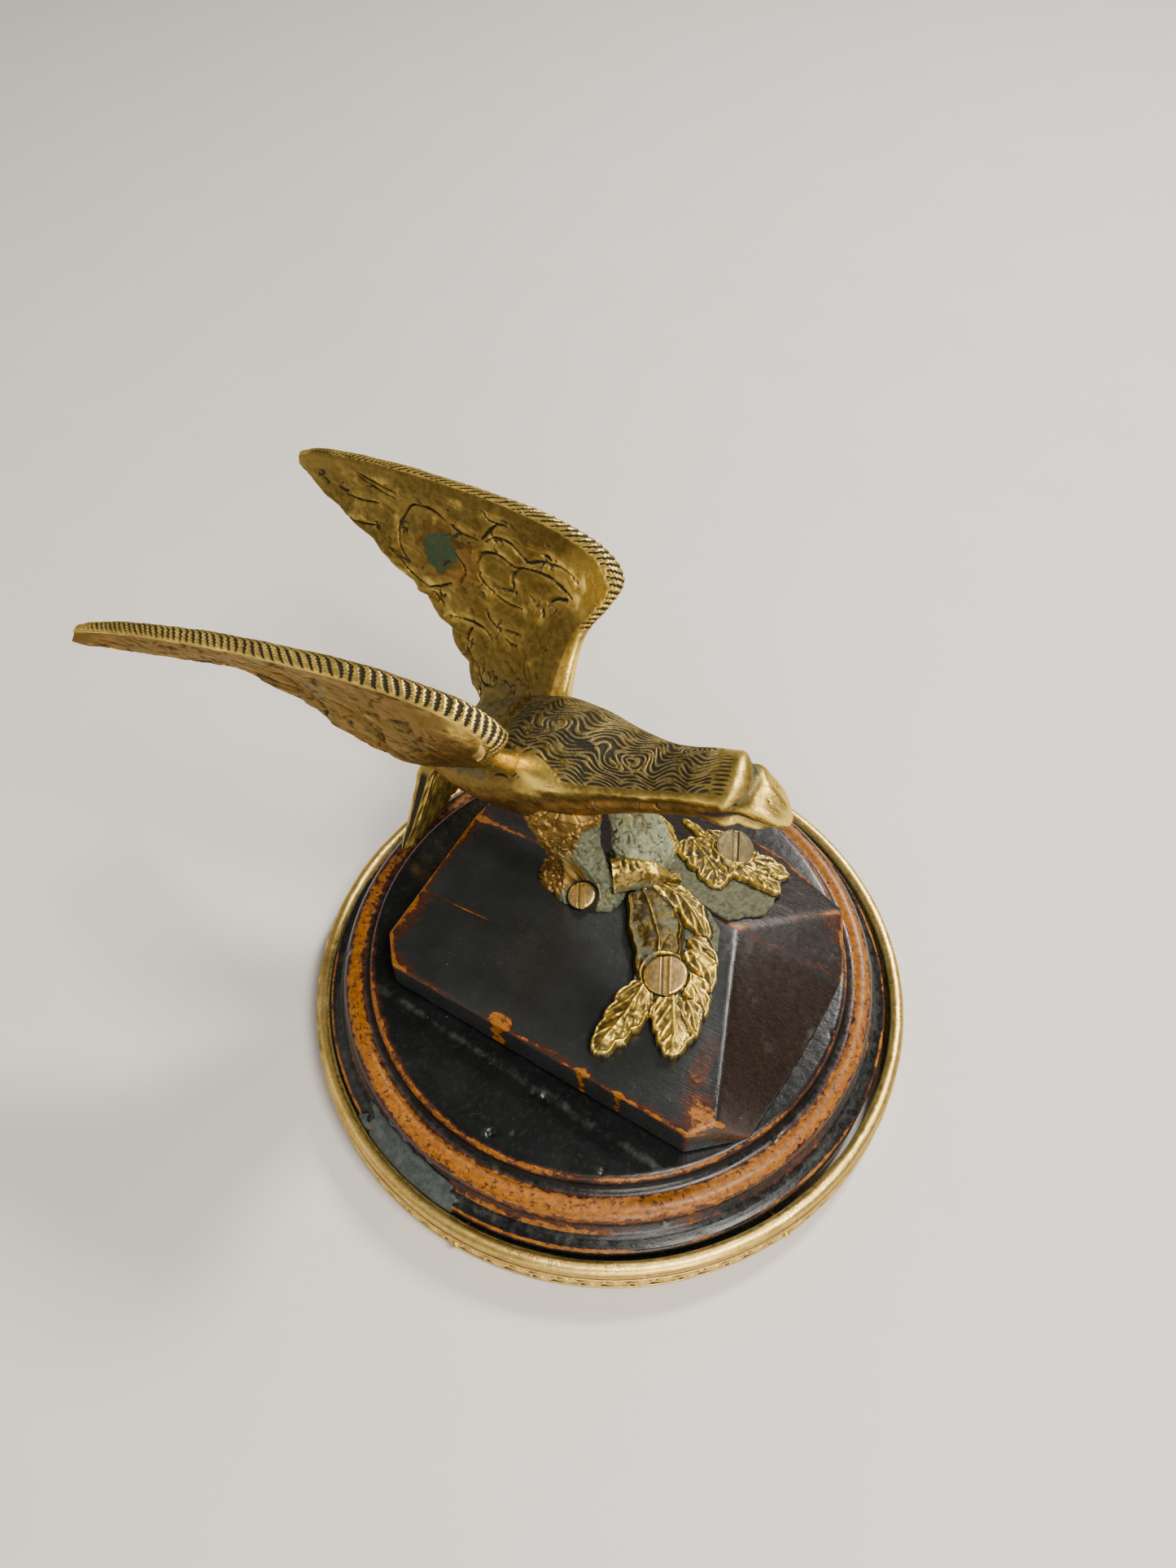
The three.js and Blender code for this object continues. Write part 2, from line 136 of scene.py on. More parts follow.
def to_line(x, y, a, b):
    """Distance in the plane to the line from a to b, and how far along it the nearest point is,
    from 0 to 1."""
    along = b - a
    t = np.clip(((x - a[0]) * along[0] + (y - a[1]) * along[1]) / (along @ along), 0, 1)
    return np.hypot(x - a[0] - t * along[0], y - a[1] - t * along[1]), t


def spline(rows, count, columns=3):
    """A smooth curve through the rows of a table, in count rows that are evenly spaced
    by the length of its first few columns."""
    rows = np.asarray(rows, float)
    padded = np.vstack([2 * rows[0] - rows[1], rows, 2 * rows[-1] - rows[-2]])
    t = np.linspace(0, 1, 24, endpoint=False)[:, None]
    fine = []
    for a, b, c, d in zip(padded[:-3], padded[1:-2], padded[2:-1], padded[3:]):
        fine.append(
            0.5 * (2 * b + (c - a) * t + (2 * a - 5 * b + 4 * c - d) * t**2
                   + (3 * b - a - 3 * c + d) * t**3)
        )
    fine = np.vstack(fine + [rows[-1:]])
    steps = np.linalg.norm(np.diff(fine[:, :columns], axis=0), axis=1)
    length = np.concatenate([[0], np.cumsum(steps)])
    even = np.linspace(0, length[-1], count)
    return np.stack([np.interp(even, length, column) for column in fine.T], -1)


def strokes(u, v, cuts):
    """How deep a point lies in a set of cut lines, and how near it is to one, both from 0 to 1.
    A cut is its width and the points that it passes through, and it tapers to both ends."""
    reach = 1.5
    depth = np.zeros(u.shape)
    swell = np.zeros(u.shape)
    ragged = 1 + 0.45 * fractal(flat(u, v), 1.3, 200)
    for width, path in cuts:
        line = spline([(a, b, 0) for a, b in path], 4 * len(path))[:, :2]
        low, high = line.min(0) - reach, line.max(0) + reach
        near = (u > low[0]) & (u < high[0]) & (v > low[1]) & (v < high[1])
        if not near.any():
            continue
        pu, pv = u[near], v[near]
        best = np.full(pu.shape, 9.0)
        gap_to = np.full(pu.shape, 9.0)
        for i, (a, b) in enumerate(zip(line[:-1], line[1:])):
            gap, t = to_line(pu, pv, a, b)
            place = (i + t) / (len(line) - 1)
            half = 0.42 * width * (0.35 + 0.65 * np.sin(np.pi * np.clip(place, 0.02, 0.98)) ** 0.7)
            best = np.minimum(best, gap / (half * ragged[near]))
            gap_to = np.minimum(gap_to, gap)
        depth[near] = np.maximum(depth[near], 1 - fade(best, 0.5, 1.25))
        swell[near] = np.maximum(swell[near], np.exp(-gap_to / 1.3))
    return depth, swell


# ---------------------------------------------------------------- meshes

def make_piece(name, points, faces, nodes, material, masks=None):
    """One piece of the object, from points in millimetres, in place of the named CAD nodes."""
    mesh = bpy.data.meshes.new(name)
    mesh.from_pydata((np.asarray(points, float).reshape(-1, 3) * MM).tolist(), [], faces)
    inside_out = bmesh.new()
    inside_out.from_mesh(mesh)
    if inside_out.calc_volume(signed=True) < 0:
        mesh.flip_normals()
    inside_out.free()
    mesh.shade_smooth()
    for mask, values in (masks or {}).items():
        attribute = mesh.attributes.new(mask, "FLOAT", "POINT")
        values = np.clip(np.asarray(values, float).ravel(), 0, 1)
        attribute.data.foreach_set("value", values.astype(np.float32))
    mesh.materials.append(material)
    piece = bpy.data.objects.new(name, mesh)
    bpy.context.scene.collection.objects.link(piece)
    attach(piece, "root")
    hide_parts(*nodes)
    return piece


def cast(name, grid, node, slot, material, **masks):
    """A piece from a tube of rings, closed at both ends, in place of one CAD node."""
    points, faces, masks = capped(grid, masks)
    make_piece(name, points, faces, [node], material, masks)


def ring_faces(rows, columns, round_again=False):
    """Quads between closed rings. With round_again the last ring joins the first."""
    index = np.arange(rows * columns).reshape(rows, columns)
    upper = np.roll(index, -1, axis=0) if round_again else index[1:]
    lower = index if round_again else index[:-1]
    quads = np.stack([lower, np.roll(lower, -1, 1), np.roll(upper, -1, 1), upper], -1)
    return quads.reshape(-1, 4).tolist()


def capped(grid, masks):
    """A tube of rings with a middle point added at each end. The masks get a value there too."""
    rows, columns = grid.shape[:2]
    faces = ring_faces(rows, columns)
    first = rows * columns
    last_ring = (rows - 1) * columns
    for i in range(columns):
        j = (i + 1) % columns
        faces.append([first, j, i])
        faces.append([first + 1, last_ring + i, last_ring + j])
    ends = np.stack([grid[0].mean(0), grid[-1].mean(0)])
    points = np.vstack([grid.reshape(-1, 3), ends])
    full = {}
    for name, values in masks.items():
        full[name] = np.concatenate([values.ravel(), [values[0].mean(), values[-1].mean()]])
    return points, faces, full


def outward(grid, hoop=False):
    """Unit normals of a grid of closed rings. In a hoop the last ring joins the first."""
    along = np.roll(grid, -1, 0) - np.roll(grid, 1, 0) if hoop else np.gradient(grid, axis=0)
    across = np.roll(grid, -1, 1) - np.roll(grid, 1, 1)
    normal = np.cross(along, across)
    normal /= np.linalg.norm(normal, axis=-1, keepdims=True) + 1e-9
    away = grid - grid.mean(0 if hoop else 1, keepdims=True)
    return normal if (normal * away).sum() > 0 else -normal


def turned(profile, steps, centre=(0, 0)):
    """Rings of a turned shape, one for each (radius, height) of its profile, and their angles."""
    angle = all_round(steps)
    profile = np.asarray(profile, float)
    grid = np.zeros((len(profile), steps, 3))
    grid[..., 0] = centre[0] + profile[:, :1] * np.cos(angle)
    grid[..., 1] = centre[1] + profile[:, :1] * np.sin(angle)
    grid[..., 2] = profile[:, 1:]
    return grid, np.broadcast_to(angle, grid.shape[:2])


def plate(box, step, inside, top, bottom):
    """A closed slab on a fine grid: its points and faces, and how many points its top has. Its
    outline is where inside(x, y) is zero, its faces are top(x, y) and bottom(x, y), and the
    grid's edge points are moved onto the outline."""
    xs = np.arange(box[0], box[1] + step, step)
    ys = np.arange(box[2], box[3] + step, step)
    x, y = np.meshgrid(xs, ys, indexing="ij")
    d = inside(x, y)
    keep = (d[:-1, :-1] + d[1:, :-1] + d[:-1, 1:] + d[1:, 1:]) > 0
    furthest = 0.7 * step
    count = np.zeros(d.shape, int)
    for i in (0, 1):
        for j in (0, 1):
            count[i:count.shape[0] - 1 + i, j:count.shape[1] - 1 + j] += keep
    used = count > 0
    edge = used & (count < 4)
    slope_x, slope_y = np.gradient(d, step)
    steep = slope_x**2 + slope_y**2 + 1e-6
    for values, slope in ((x, slope_x), (y, slope_y)):
        values[edge] += np.clip(-d * slope / steep, -furthest, furthest)[edge]
    number = np.full(d.shape, -1)
    number[used] = np.arange(used.sum())
    px, py = x[used], y[used]
    points = np.vstack([
        np.stack([px, py, top(px, py)], -1),
        np.stack([px, py, bottom(px, py)], -1),
    ])
    half = len(px)
    quads = [number[:-1, :-1], number[1:, :-1], number[1:, 1:], number[:-1, 1:]]
    quads = np.stack(quads, -1)[keep]
    faces = quads.tolist() + (quads[:, ::-1] + half).tolist()
    edges = {}
    for quad in faces[:len(quads)]:
        for p, q in zip(quad, quad[1:] + quad[:1]):
            if (q, p) in edges:
                del edges[(q, p)]
            else:
                edges[(p, q)] = True
    faces += [[q, p, p + half, q + half] for p, q in edges]
    return points, faces, half


# ---------------------------------------------------------------- materials

class Graph:
    """A material's node graph, with short calls for the nodes that it uses."""

    def __init__(self, name):
        self.material = bpy.data.materials.new(name)
        self.material.use_nodes = True
        self.tree = self.material.node_tree
        self.shader = self.tree.nodes["Principled BSDF"]
        self.place = self.node("ShaderNodeTexCoord", {}, "Object")

    def node(self, kind, inputs, output=0, **settings):
        made = self.tree.nodes.new(kind)
        for key, value in settings.items():
            setattr(made, key, value)
        for key, value in inputs.items():
            if isinstance(value, bpy.types.NodeSocket):
                self.tree.links.new(value, made.inputs[key])
            else:
                made.inputs[key].default_value = value
        return made.outputs[output]

    def math(self, operation, a, b=0.0):
        return self.node("ShaderNodeMath", {0: a, 1: b}, operation=operation)

    def plus(self, a, b):
        return self.math("ADD", a, b)

    def times(self, a, b):
        return self.math("MULTIPLY", a, b)

    def mask(self, name):
        return self.node("ShaderNodeAttribute", {}, "Fac", attribute_name=name)

    def stray(self, noise, amount):
        """The noise about zero, times the amount."""
        return self.times(self.plus(noise, -0.5), amount)

    def ragged(self, name, noise, amount, start, end):
        """A mask whose edge is broken up by some of the noise."""
        return self.step(self.plus(self.mask(name), self.stray(noise, amount)), start, end)

    def mottled(self, noise, start, end, a, b):
        """Colour a where the noise is low and b where it is high."""
        return self.blend(self.step(noise, start, end), a, b)

    def noise(self, per_mm, detail=4.0, rough=0.55, stretch=None):
        place = self.place
        if stretch:
            place = self.node("ShaderNodeMapping", {"Vector": place, "Scale": stretch})
        return self.node(
            "ShaderNodeTexNoise",
            {"Vector": place, "Scale": per_mm / MM, "Detail": detail, "Roughness": rough},
        )

    def step(self, value, start, end, low=0.0, high=1.0):
        return self.node(
            "ShaderNodeMapRange",
            {"Value": value, "From Min": start, "From Max": end, "To Min": low, "To Max": high},
            interpolation_type="SMOOTHSTEP",
        )

    def blend(self, factor, a, b):
        def colour(c):
            return c if isinstance(c, bpy.types.NodeSocket) else (*c, 1.0)
        return self.node(
            "ShaderNodeMix", {0: factor, 6: colour(a), 7: colour(b)}, 2, data_type="RGBA"
        )

    def bumps(self, heights):
        """Bump of several (height in mm, strength) in a chain."""
        normal = None
        for height, depth in heights:
            inputs = {"Height": height, "Distance": depth * MM, "Strength": 1.0}
            if normal is not None:
                inputs["Normal"] = normal
            normal = self.node("ShaderNodeBump", inputs)
        self.tree.links.new(normal, self.shader.inputs["Normal"])

    def finish(self, colour, rough, metal=None, **constants):
        self.tree.links.new(colour, self.shader.inputs["Base Color"])
        self.tree.links.new(rough, self.shader.inputs["Roughness"])
        if metal is not None:
            self.tree.links.new(metal, self.shader.inputs["Metallic"])
        for key, value in constants.items():
            self.shader.inputs[key.replace("_", " ")].default_value = value
        return self.material


def scaled(colour, amount):
    return tuple(c * amount for c in colour)


def brass(name, dull, shine, stain, bloom, shine_rough=0.26, dull_rough=0.45):
    """Aged brass: dull metal that is bright where hands reach and where highlights are painted,
    brown where hands don't reach and where a warm reflection is painted, with black in its cuts,
    a grey-green bloom and spots of verdigris."""
    g = Graph(name)
    cloud = g.noise(0.22, 4.0)
    mottle = g.noise(0.9, 5.0, 0.65)
    fine = g.noise(4.5, 4.0, 0.6)
    bright = g.ragged("bright", cloud, 0.9, 0.05, 0.95)
    brown = g.ragged("brown", mottle, 0.8, 0.2, 0.8)
    green = g.ragged("bloom", mottle, 1.2, 0.3, 0.7)
    verdigris = g.ragged("verdigris", mottle, 1.3, 0.35, 0.6)
    dark = g.ragged("groove", fine, 0.5, 0.18, 0.62)
    tint = g.mottled(mottle, 0.35, 0.7, dull, scaled(dull, 1.55))
    tint = g.blend(brown, tint, g.mottled(cloud, 0.4, 0.62, stain, scaled(stain, 0.5)))
    tint = g.blend(bright, tint, shine)
    tint = g.blend(green, tint, g.mottled(mottle, 0.4, 0.65, bloom, scaled(bloom, 0.55)))
    spots = g.mottled(mottle, 0.42, 0.62, (0.011, 0.046, 0.023), (0.050, 0.042, 0.012))
    tint = g.blend(verdigris, tint, spots)
    tint = g.blend(dark, tint, (0.010, 0.009, 0.006))
    green = g.math("MAXIMUM", green, verdigris)
    rough = g.node("ShaderNodeMix", {0: bright, 2: dull_rough, 3: shine_rough})
    rough = g.plus(rough, g.stray(mottle, 0.22))
    rough = g.plus(rough, g.times(green, 0.28))
    rough = g.plus(rough, g.times(dark, 0.3))
    metal = g.math("SUBTRACT", 0.97, g.times(green, 0.75))
    metal = g.math("SUBTRACT", metal, g.times(brown, 0.08))
    metal = g.math("MAXIMUM", g.math("SUBTRACT", metal, g.times(dark, 0.7)), 0.05)
    g.bumps([(mottle, 0.10), (fine, 0.03), (g.noise(2.0, 3.0, 0.5, (1.0, 6.0, 1.0)), 0.02)])
    return g.finish(tint, rough, metal, Specular_Tint=(0.97, 0.86, 0.60, 1.0))


def lacquer(name, stretch, deep, worn):
    """Black lacquer over orange wood. It is rubbed red-brown first, then through to the wood.
    In the plinth's hollow the red-brown also paints a warm reflection.
    """
    g = Graph(name)
    cloud = g.noise(0.12, 5.0, 0.6)
    ragged = g.noise(0.55, 7.0, 0.7)
    grain = g.noise(0.8, 5.0, 0.6, stretch)
    speck = g.noise(1.6, 2.0, 0.4)
    wear = g.plus(g.mask("wear"), g.stray(ragged, 0.95))
    wear = g.plus(wear, g.stray(grain, 0.25))
    bare = g.step(wear, 0.56, 0.66)
    rubbed = g.step(wear, 0.22, 0.6)
    dust = g.ragged("dust", ragged, 1.0, 0.2, 0.9)
    filler = g.ragged("bloom", ragged, 0.5, 0.35, 0.55)

    black = g.mottled(cloud, 0.35, 0.7, deep, worn)
    black = g.blend(g.times(g.step(grain, 0.5, 0.75), 0.5), black, (0.019, 0.018, 0.017))
    faded = g.mottled(grain, 0.35, 0.7, (0.0075, 0.0040, 0.0028), (0.022, 0.0125, 0.0080))
    black = g.blend(g.mask("brown"), black, faded)
    black = g.mottled(speck, 0.775, 0.80, black, (0.12, 0.115, 0.10))
    red = g.mottled(grain, 0.3, 0.7, (0.026, 0.0055, 0.0025), (0.075, 0.018, 0.006))
    wood = g.mottled(grain, 0.3, 0.72, (0.150, 0.048, 0.002), (0.30, 0.108, 0.007))
    wood = g.mottled(g.noise(0.9, 5.0, 0.6), 0.58, 0.7, wood, (0.13, 0.034, 0.003))
    wood = g.mottled(g.noise(1.0, 6.0, 0.7), 0.565, 0.60, wood, (0.050, 0.015, 0.004))
    putty = g.mottled(ragged, 0.4, 0.65, (0.034, 0.043, 0.041), (0.060, 0.073, 0.068))
    tint = g.blend(rubbed, black, red)
    tint = g.blend(bare, tint, wood)
    tint = g.blend(g.times(dust, 0.55), tint, (0.13, 0.13, 0.12))
    tint = g.blend(filler, tint, putty)

    rough = g.plus(g.times(ragged, 0.2), g.times(bare, 0.16))
    rough = g.plus(g.plus(rough, 0.17), g.times(dust, 0.40))
    rough = g.plus(rough, g.times(g.mask("polish"), -0.17))
    g.bumps([(grain, 0.05), (ragged, 0.05), (g.noise(6.0, 2.0), 0.008), (bare, -0.06)])
    return g.finish(
        tint, rough, None, Coat_Weight=0.08, Coat_Roughness=0.20, Specular_IOR_Level=0.26
    )


def felt():
    g = Graph("felt")
    mat = g.noise(1.2, 6.0, 0.7)
    fibre = g.noise(5.0, 5.0, 0.7, (1.0, 3.0, 1.0))
    tint = g.mottled(mat, 0.3, 0.7, (0.012, 0.030, 0.016), (0.026, 0.055, 0.030))
    tint = g.mottled(fibre, 0.55, 0.75, tint, (0.06, 0.09, 0.06))
    g.bumps([(mat, 0.15), (fibre, 0.1)])
    return g.finish(tint, g.plus(g.times(mat, 0.1), 0.85), None, Sheen_Weight=0.4)


def steel():
    g = Graph("screw_steel")
    drawn = g.noise(3.0, 3.0, 0.5, (1.0, 1.0, 8.0))
    spots = g.noise(0.8, 4.0, 0.6)
    tint = g.mottled(spots, 0.5, 0.7, (0.35, 0.35, 0.36), (0.12, 0.07, 0.04))
    g.bumps([(drawn, 0.02), (spots, 0.03)])
    return g.finish(tint, g.plus(g.times(spots, 0.3), 0.2), g.step(spots, 0.75, 0.5, 0.5, 1.0))


# each brass: its dull, shining, stained and bloomed colours, then how rough it is where it
# shines and where it is dull
EAGLE_BRASS = brass(
    "eagle_brass",
    (0.150, 0.102, 0.026), (0.88, 0.63, 0.145), (0.200, 0.106, 0.024), (0.112, 0.112, 0.068),
)
LEG_BRASS = brass(
    "leg_brass",
    (0.150, 0.122, 0.050), (0.80, 0.63, 0.26), (0.36, 0.205, 0.050), (0.132, 0.150, 0.096),
)
# a lighter copy of the leg brass, painting light onto the far leg where the lamps leave it in
# shade
FAR_LEG_PAINTED_LIGHT_BRASS = brass(
    "far_leg_painted_light_brass",
    (0.270, 0.225, 0.100), (0.80, 0.66, 0.30), (0.44, 0.240, 0.060), (0.400, 0.440, 0.285),
)
BRANCH_BRASS = brass(
    "branch_brass",
    (0.140, 0.100, 0.028), (0.86, 0.60, 0.115), (0.105, 0.068, 0.018), (0.095, 0.100, 0.062),
    0.30, 0.46,
)
RIM_BRASS = brass(
    "rim_brass",
    (0.480, 0.315, 0.080), (0.92, 0.66, 0.20), (0.16, 0.095, 0.028), (0.17, 0.19, 0.08),
    0.26, 0.38,
)
SCREW_BRASS = brass(
    "screw_brass",
    (0.340, 0.235, 0.095), (0.90, 0.62, 0.18), (0.17, 0.105, 0.040), (0.125, 0.120, 0.066),
    0.25, 0.46,
)
# each lacquer: how its grain is stretched, then its deep and its worn black
PLINTH_LACQUER = lacquer(
    "ebonised_plinth", (1.0, 1.0, 3.0), (0.0026, 0.0033, 0.0033), (0.0058, 0.0068, 0.0070)
)
ROCK_LACQUER = lacquer(
    "ebonised_rock", (0.35, 5.0, 2.0), (0.0122, 0.0138, 0.0138), (0.0168, 0.0190, 0.0190)
)


# ---------------------------------------------------------------- the base

PLATEAU = 19.5
AXIS = 0.3  # a turned profile starts this far from its axis
BEAD_CENTRE = (51.6, 14.0)
BEAD_RADIUS = 2.5
RIM_CENTRE = (0.35, 0.35)
RIM_INNER = 58.5
RIM_OUTER = 61.3
PLINTH_DENTS = [
    # x, y, size, depth
    (-0.6, -45.0, 0.55, 0.9), (3.1, -42.9, 0.35, 0.3), (20.6, -41.7, 0.45, 0.35),
    (4.6, -34.6, 0.7, 0.5), (5.6, -35.2, 0.4, 0.4), (2.4, -34.8, 0.5, 0.3),
    (-24.0, -36.0, 0.25, 0.15), (-13.5, -40.8, 0.2, 0.1), (33.5, -42.0, 0.5, 0.3),
    (45.8, -19.5, 0.7, 0.35), (47.5, 3.0, 0.6, 0.3), (-47.5, -24.6, 0.8, 0.4),
]


def arc(centre, radius, start, end, count):
    """Points of an arc, angles in degrees."""
    angles = np.radians(np.linspace(start, end, count))
    return [(centre[0] + radius * math.cos(a), centre[1] + radius * math.sin(a)) for a in angles]


def filled(profile, step):
    """The profile with points added so that none is further than step from the next."""
    out = [profile[0]]
    for (r0, z0), (r1, z1) in zip(profile, profile[1:]):
        count = max(1, math.ceil(math.hypot(r1 - r0, z1 - z0) / step))
        for k in range(1, count + 1):
            out.append((r0 + (r1 - r0) * k / count, z0 + (z1 - z0) * k / count))
    return out


def plinth_profile():
    side = filled([(AXIS, 1.5), (56.9, 1.5), (57.6, 2.2), (57.7, 8.6), (57.4, 9.1)], 2.5)
    hollow = [(57.4, 9.1), (56.6, 9.35), (55.6, 9.8), (54.6, 10.7), (53.8, 11.8)]
    bead = arc(BEAD_CENTRE, BEAD_RADIUS, -38, 118, 26)
    groove = [
        (49.9, 16.2), (49.3, 16.35), (48.8, 16.8), (48.45, 17.5),
        (48.3, 18.4), (48.1, 19.0), (47.7, 19.4), (47.1, 19.52),
    ]
    # the rings are close together only where the block leaves the plateau bare
    top = filled([(47.1, 19.52), (30.0, PLATEAU)], 0.4)[1:]
    middle = filled([(30.0, PLATEAU), (AXIS, PLATEAU)], 3.0)[1:]
    return side + filled(hollow, 0.3)[1:] + bead + filled(groove, 0.25) + top + middle


def plinth():
    grid, angle = turned(plinth_profile(), 720)
    x, y, height = grid[..., 0], grid[..., 1], grid[..., 2]
    radius = np.hypot(x, y)
    soft = fractal(grid, 9, 5)
    sharp = fractal(grid, 2.2, 9)

    # the plateau's edge is rubbed: widely at the front left, as a line elsewhere
    width = 0.40 + 0.9 * around(angle, -135, 30)
    width = width + 0.35 * around(angle, -70, 20) + 0.8 * around(angle, 60, 30)
    width = width * (1 + 0.35 * soft)
    on_top = height > 18.2
    wear = np.where(on_top, (0.62 + 0.25 * soft) * bump(radius, 47.9, width), 0)
    # the half-round bead is rubbed on its crown
    crown = 51.55 + 0.5 * np.cos(angle + 0.9)
    on_bead = (height > 12.6) & (radius > 49.4) & ~on_top
    rubbed = 0.62 + 0.38 * around(angle, -75, 75)
    rubbed = rubbed + 0.15 * around(angle, 50, 60) - 0.06 * around(angle, 165, 45)
    rubbed = rubbed * bump(radius, crown, 2.35) * (1.08 + 0.25 * soft)
    wear = np.where(on_bead, rubbed, wear)
    # the outer hollow is rubbed in places, more towards the front, where its red-brown also paints
    # a warm reflection; a thin line runs along its arris
    arris = (height < 10.4) & (height > 8.6)
    hollow = (height < 13.0) & (radius > 53.4)
    rubs_and_reflection = (0.36 + 0.20 * around(angle, -75, 60)) * (1 + 1.1 * soft)
    wear = np.where(hollow, rubs_and_reflection * bump(radius, 55.2, 1.8), wear)
    wear = np.where(arris, 0.75 * bump(radius, 57.3, 0.35) * (1 + soft), wear)

    # dust lies in the hollow, in the groove and along the foot of the block
    dust = 0.36 * bump(radius, 55.7, 1.5) * (height < 12.6)
    dust = dust + 0.35 * bump(radius, 49.4, 0.9) * ~on_top
    foot = bump(y + 0.1 * x, -33.4, 1.3) * (np.abs(x) < 36) * on_top
    dust = dust + 0.42 * foot * (0.8 + 0.8 * soft)

    # filler smeared over the outer hollow at the front left
    filler = around(angle, -105, 13.5) * fade(radius, 53.6, 54.6)
    filler = fade(filler + 0.22 * sharp, 0.42, 0.5)
    relief = 0.35 * filler - 0.07 * wear * (1 + sharp) + 0.03 * sharp
    # dents, chips and a nail hole
    brown = 0 * radius
    for dent_x, dent_y, size, depth in PLINTH_DENTS:
        hole = bump(np.hypot(x - dent_x, y - dent_y), 0, size)
        relief = relief - depth * hole
        brown = brown + 0.4 * hole
    grid = grid + outward(grid) * relief[..., None]
    cast("turned_plinth", grid, "plinth", "ebonised_plinth", PLINTH_LACQUER,
         wear=wear, dust=dust, bloom=filler, brown=brown)


def pad():
    outline = [(AXIS, 0.0), (55.7, 0.0), (56.0, 0.3), (56.0, 0.9), (55.7, 1.2), (AXIS, 1.2)]
    grid = turned(filled(outline, 0.6), 240)[0]
    fuzz = fractal(grid, 0.9, 3) * fade(np.hypot(grid[..., 0], grid[..., 1]), 53, 55.5)
    grid[..., :2] *= 1 - 0.002 * np.abs(fuzz)[..., None]
    cast("felt_pad", grid, "base_pad", "felt", felt())


def rim_radius(grid):
    return np.hypot(grid[..., 0] - RIM_CENTRE[0], grid[..., 1] - RIM_CENTRE[1])


def hoop(name, section, node, steps, finish):
    """A hoop of the rim, from its closed section. finish(grid, angle) says its relief and its
    bright, groove and bloom masks."""
    grid, angle = turned(section, steps, RIM_CENTRE)
    relief, bright, groove, bloom = finish(grid, angle)
    grid = grid + outward(grid, hoop=True) * relief[..., None]
    tarnish = 0.35 + 0.75 * around(angle, 175, 70)
    brown = fade(fractal(grid, 9, 21) + 0.5 * fractal(grid, 2.5, 22), -0.2, 0.6) * tarnish
    masks = {"bright": bright, "groove": groove, "brown": brown, "bloom": bloom(grid)}
    faces = ring_faces(*grid.shape[:2], True)
    make_piece(name, grid, faces, [node], RIM_BRASS, masks)


def rim_bead():
    middle = (RIM_INNER + RIM_OUTER) / 2
    section = filled([(RIM_INNER, 5.9), (RIM_OUTER - 0.2, 5.9)], 0.3) + [(RIM_OUTER, 6.2)]
    section += arc((middle, 6.95), 1.45, -10, 168, 26)
    section += filled([(RIM_INNER, 7.2), (RIM_INNER, 5.9)], 0.3)[:-1]

    def finish(grid, angle):
        rolled = fractal(flat(angle * 60, grid[..., 2] * 8), 5, 12)
        relief = 0.06 * fractal(grid, 4, 2) + 0.03 * rolled
        lines = bump(grid[..., 2], 7.15, 0.10) * (np.hypot(grid[..., 0], grid[..., 1]) > middle)
        relief = relief - 0.12 * lines
        # the top of the roll is painted brighter as a highlight
        bright = 0.55 * fade(grid[..., 2], 7.3, 8.3) + 0.25 * rolled
        groove = 0.8 * lines + 0.25 * fade(fractal(grid, 1.2, 8), 0.45, 0.7)
        return relief, bright, groove, green

    def green(grid):
        return 0.55 * (1 - fade(rim_radius(grid), RIM_INNER + 0.2, RIM_INNER + 0.9))

    hoop("rim_bead_roll", section, "rim_bead", 900, finish)


def rim_band():
    foot = [(RIM_INNER, 0.5), (RIM_OUTER - 0.25, 0.5), (RIM_OUTER, 0.75)]
    head = [(RIM_OUTER, 5.35), (RIM_OUTER - 0.25, 5.6), (RIM_INNER, 5.6), (RIM_INNER, 0.5)]
    section = filled(foot, 0.4) + filled([foot[-1], head[0]], 0.13)[1:] + filled(head, 0.4)[1:-1]

    def finish(grid, angle):
        face = fade(rim_radius(grid), RIM_OUTER - 0.3, RIM_OUTER - 0.05)
        run = angle * RIM_OUTER
        height = grid[..., 2] - 3.0
        # a running vine: one leaf to a side in each pitch, and a berry between
        pitch = 9.0
        vine = bump(height - 0.8 * np.sin(run / pitch * 2 * np.pi), 0, 0.32)
        place = (run / (pitch / 2)) % 1 - 0.5
        side = np.where((run / (pitch / 2)) % 2 < 1, 1.0, -1.0)
        leaf_v = height * side + 0.55
        leaf = 1 - np.hypot(place / 0.36, leaf_v / 1.15)
        lobes = 0.22 * np.cos(np.arctan2(leaf_v / 1.15, place / 0.36) * 6)
        leaf = fade(leaf + lobes, 0.0, 0.45)
        berry = fade(1 - np.hypot(place * 4.5 - 2.0, height * side - 0.9) / 0.55, 0, 0.6)
        rails = bump(np.abs(height), 2.0, 0.16)
        raised = np.maximum.reduce([0.7 * vine, leaf, 0.9 * berry, 0.8 * rails])
        relief = face * (0.34 * raised - 0.12 * bump(leaf_v, 0, 0.12) * (leaf > 0.3) - 0.05)
        relief = relief + 0.04 * fractal(grid, 2.5, 4)
        bright = face * fade(raised, 0.3, 0.9) * 0.75
        groove = face * (1 - fade(raised, 0.02, 0.3)) * 0.62
        return relief, bright, groove, lambda moved: 0.15 * fade(fractal(moved, 6, 17), 0, 0.6)

    hoop("rim_band_relief", section, "rim_band", 1500, finish)


# ---------------------------------------------------------------- the block

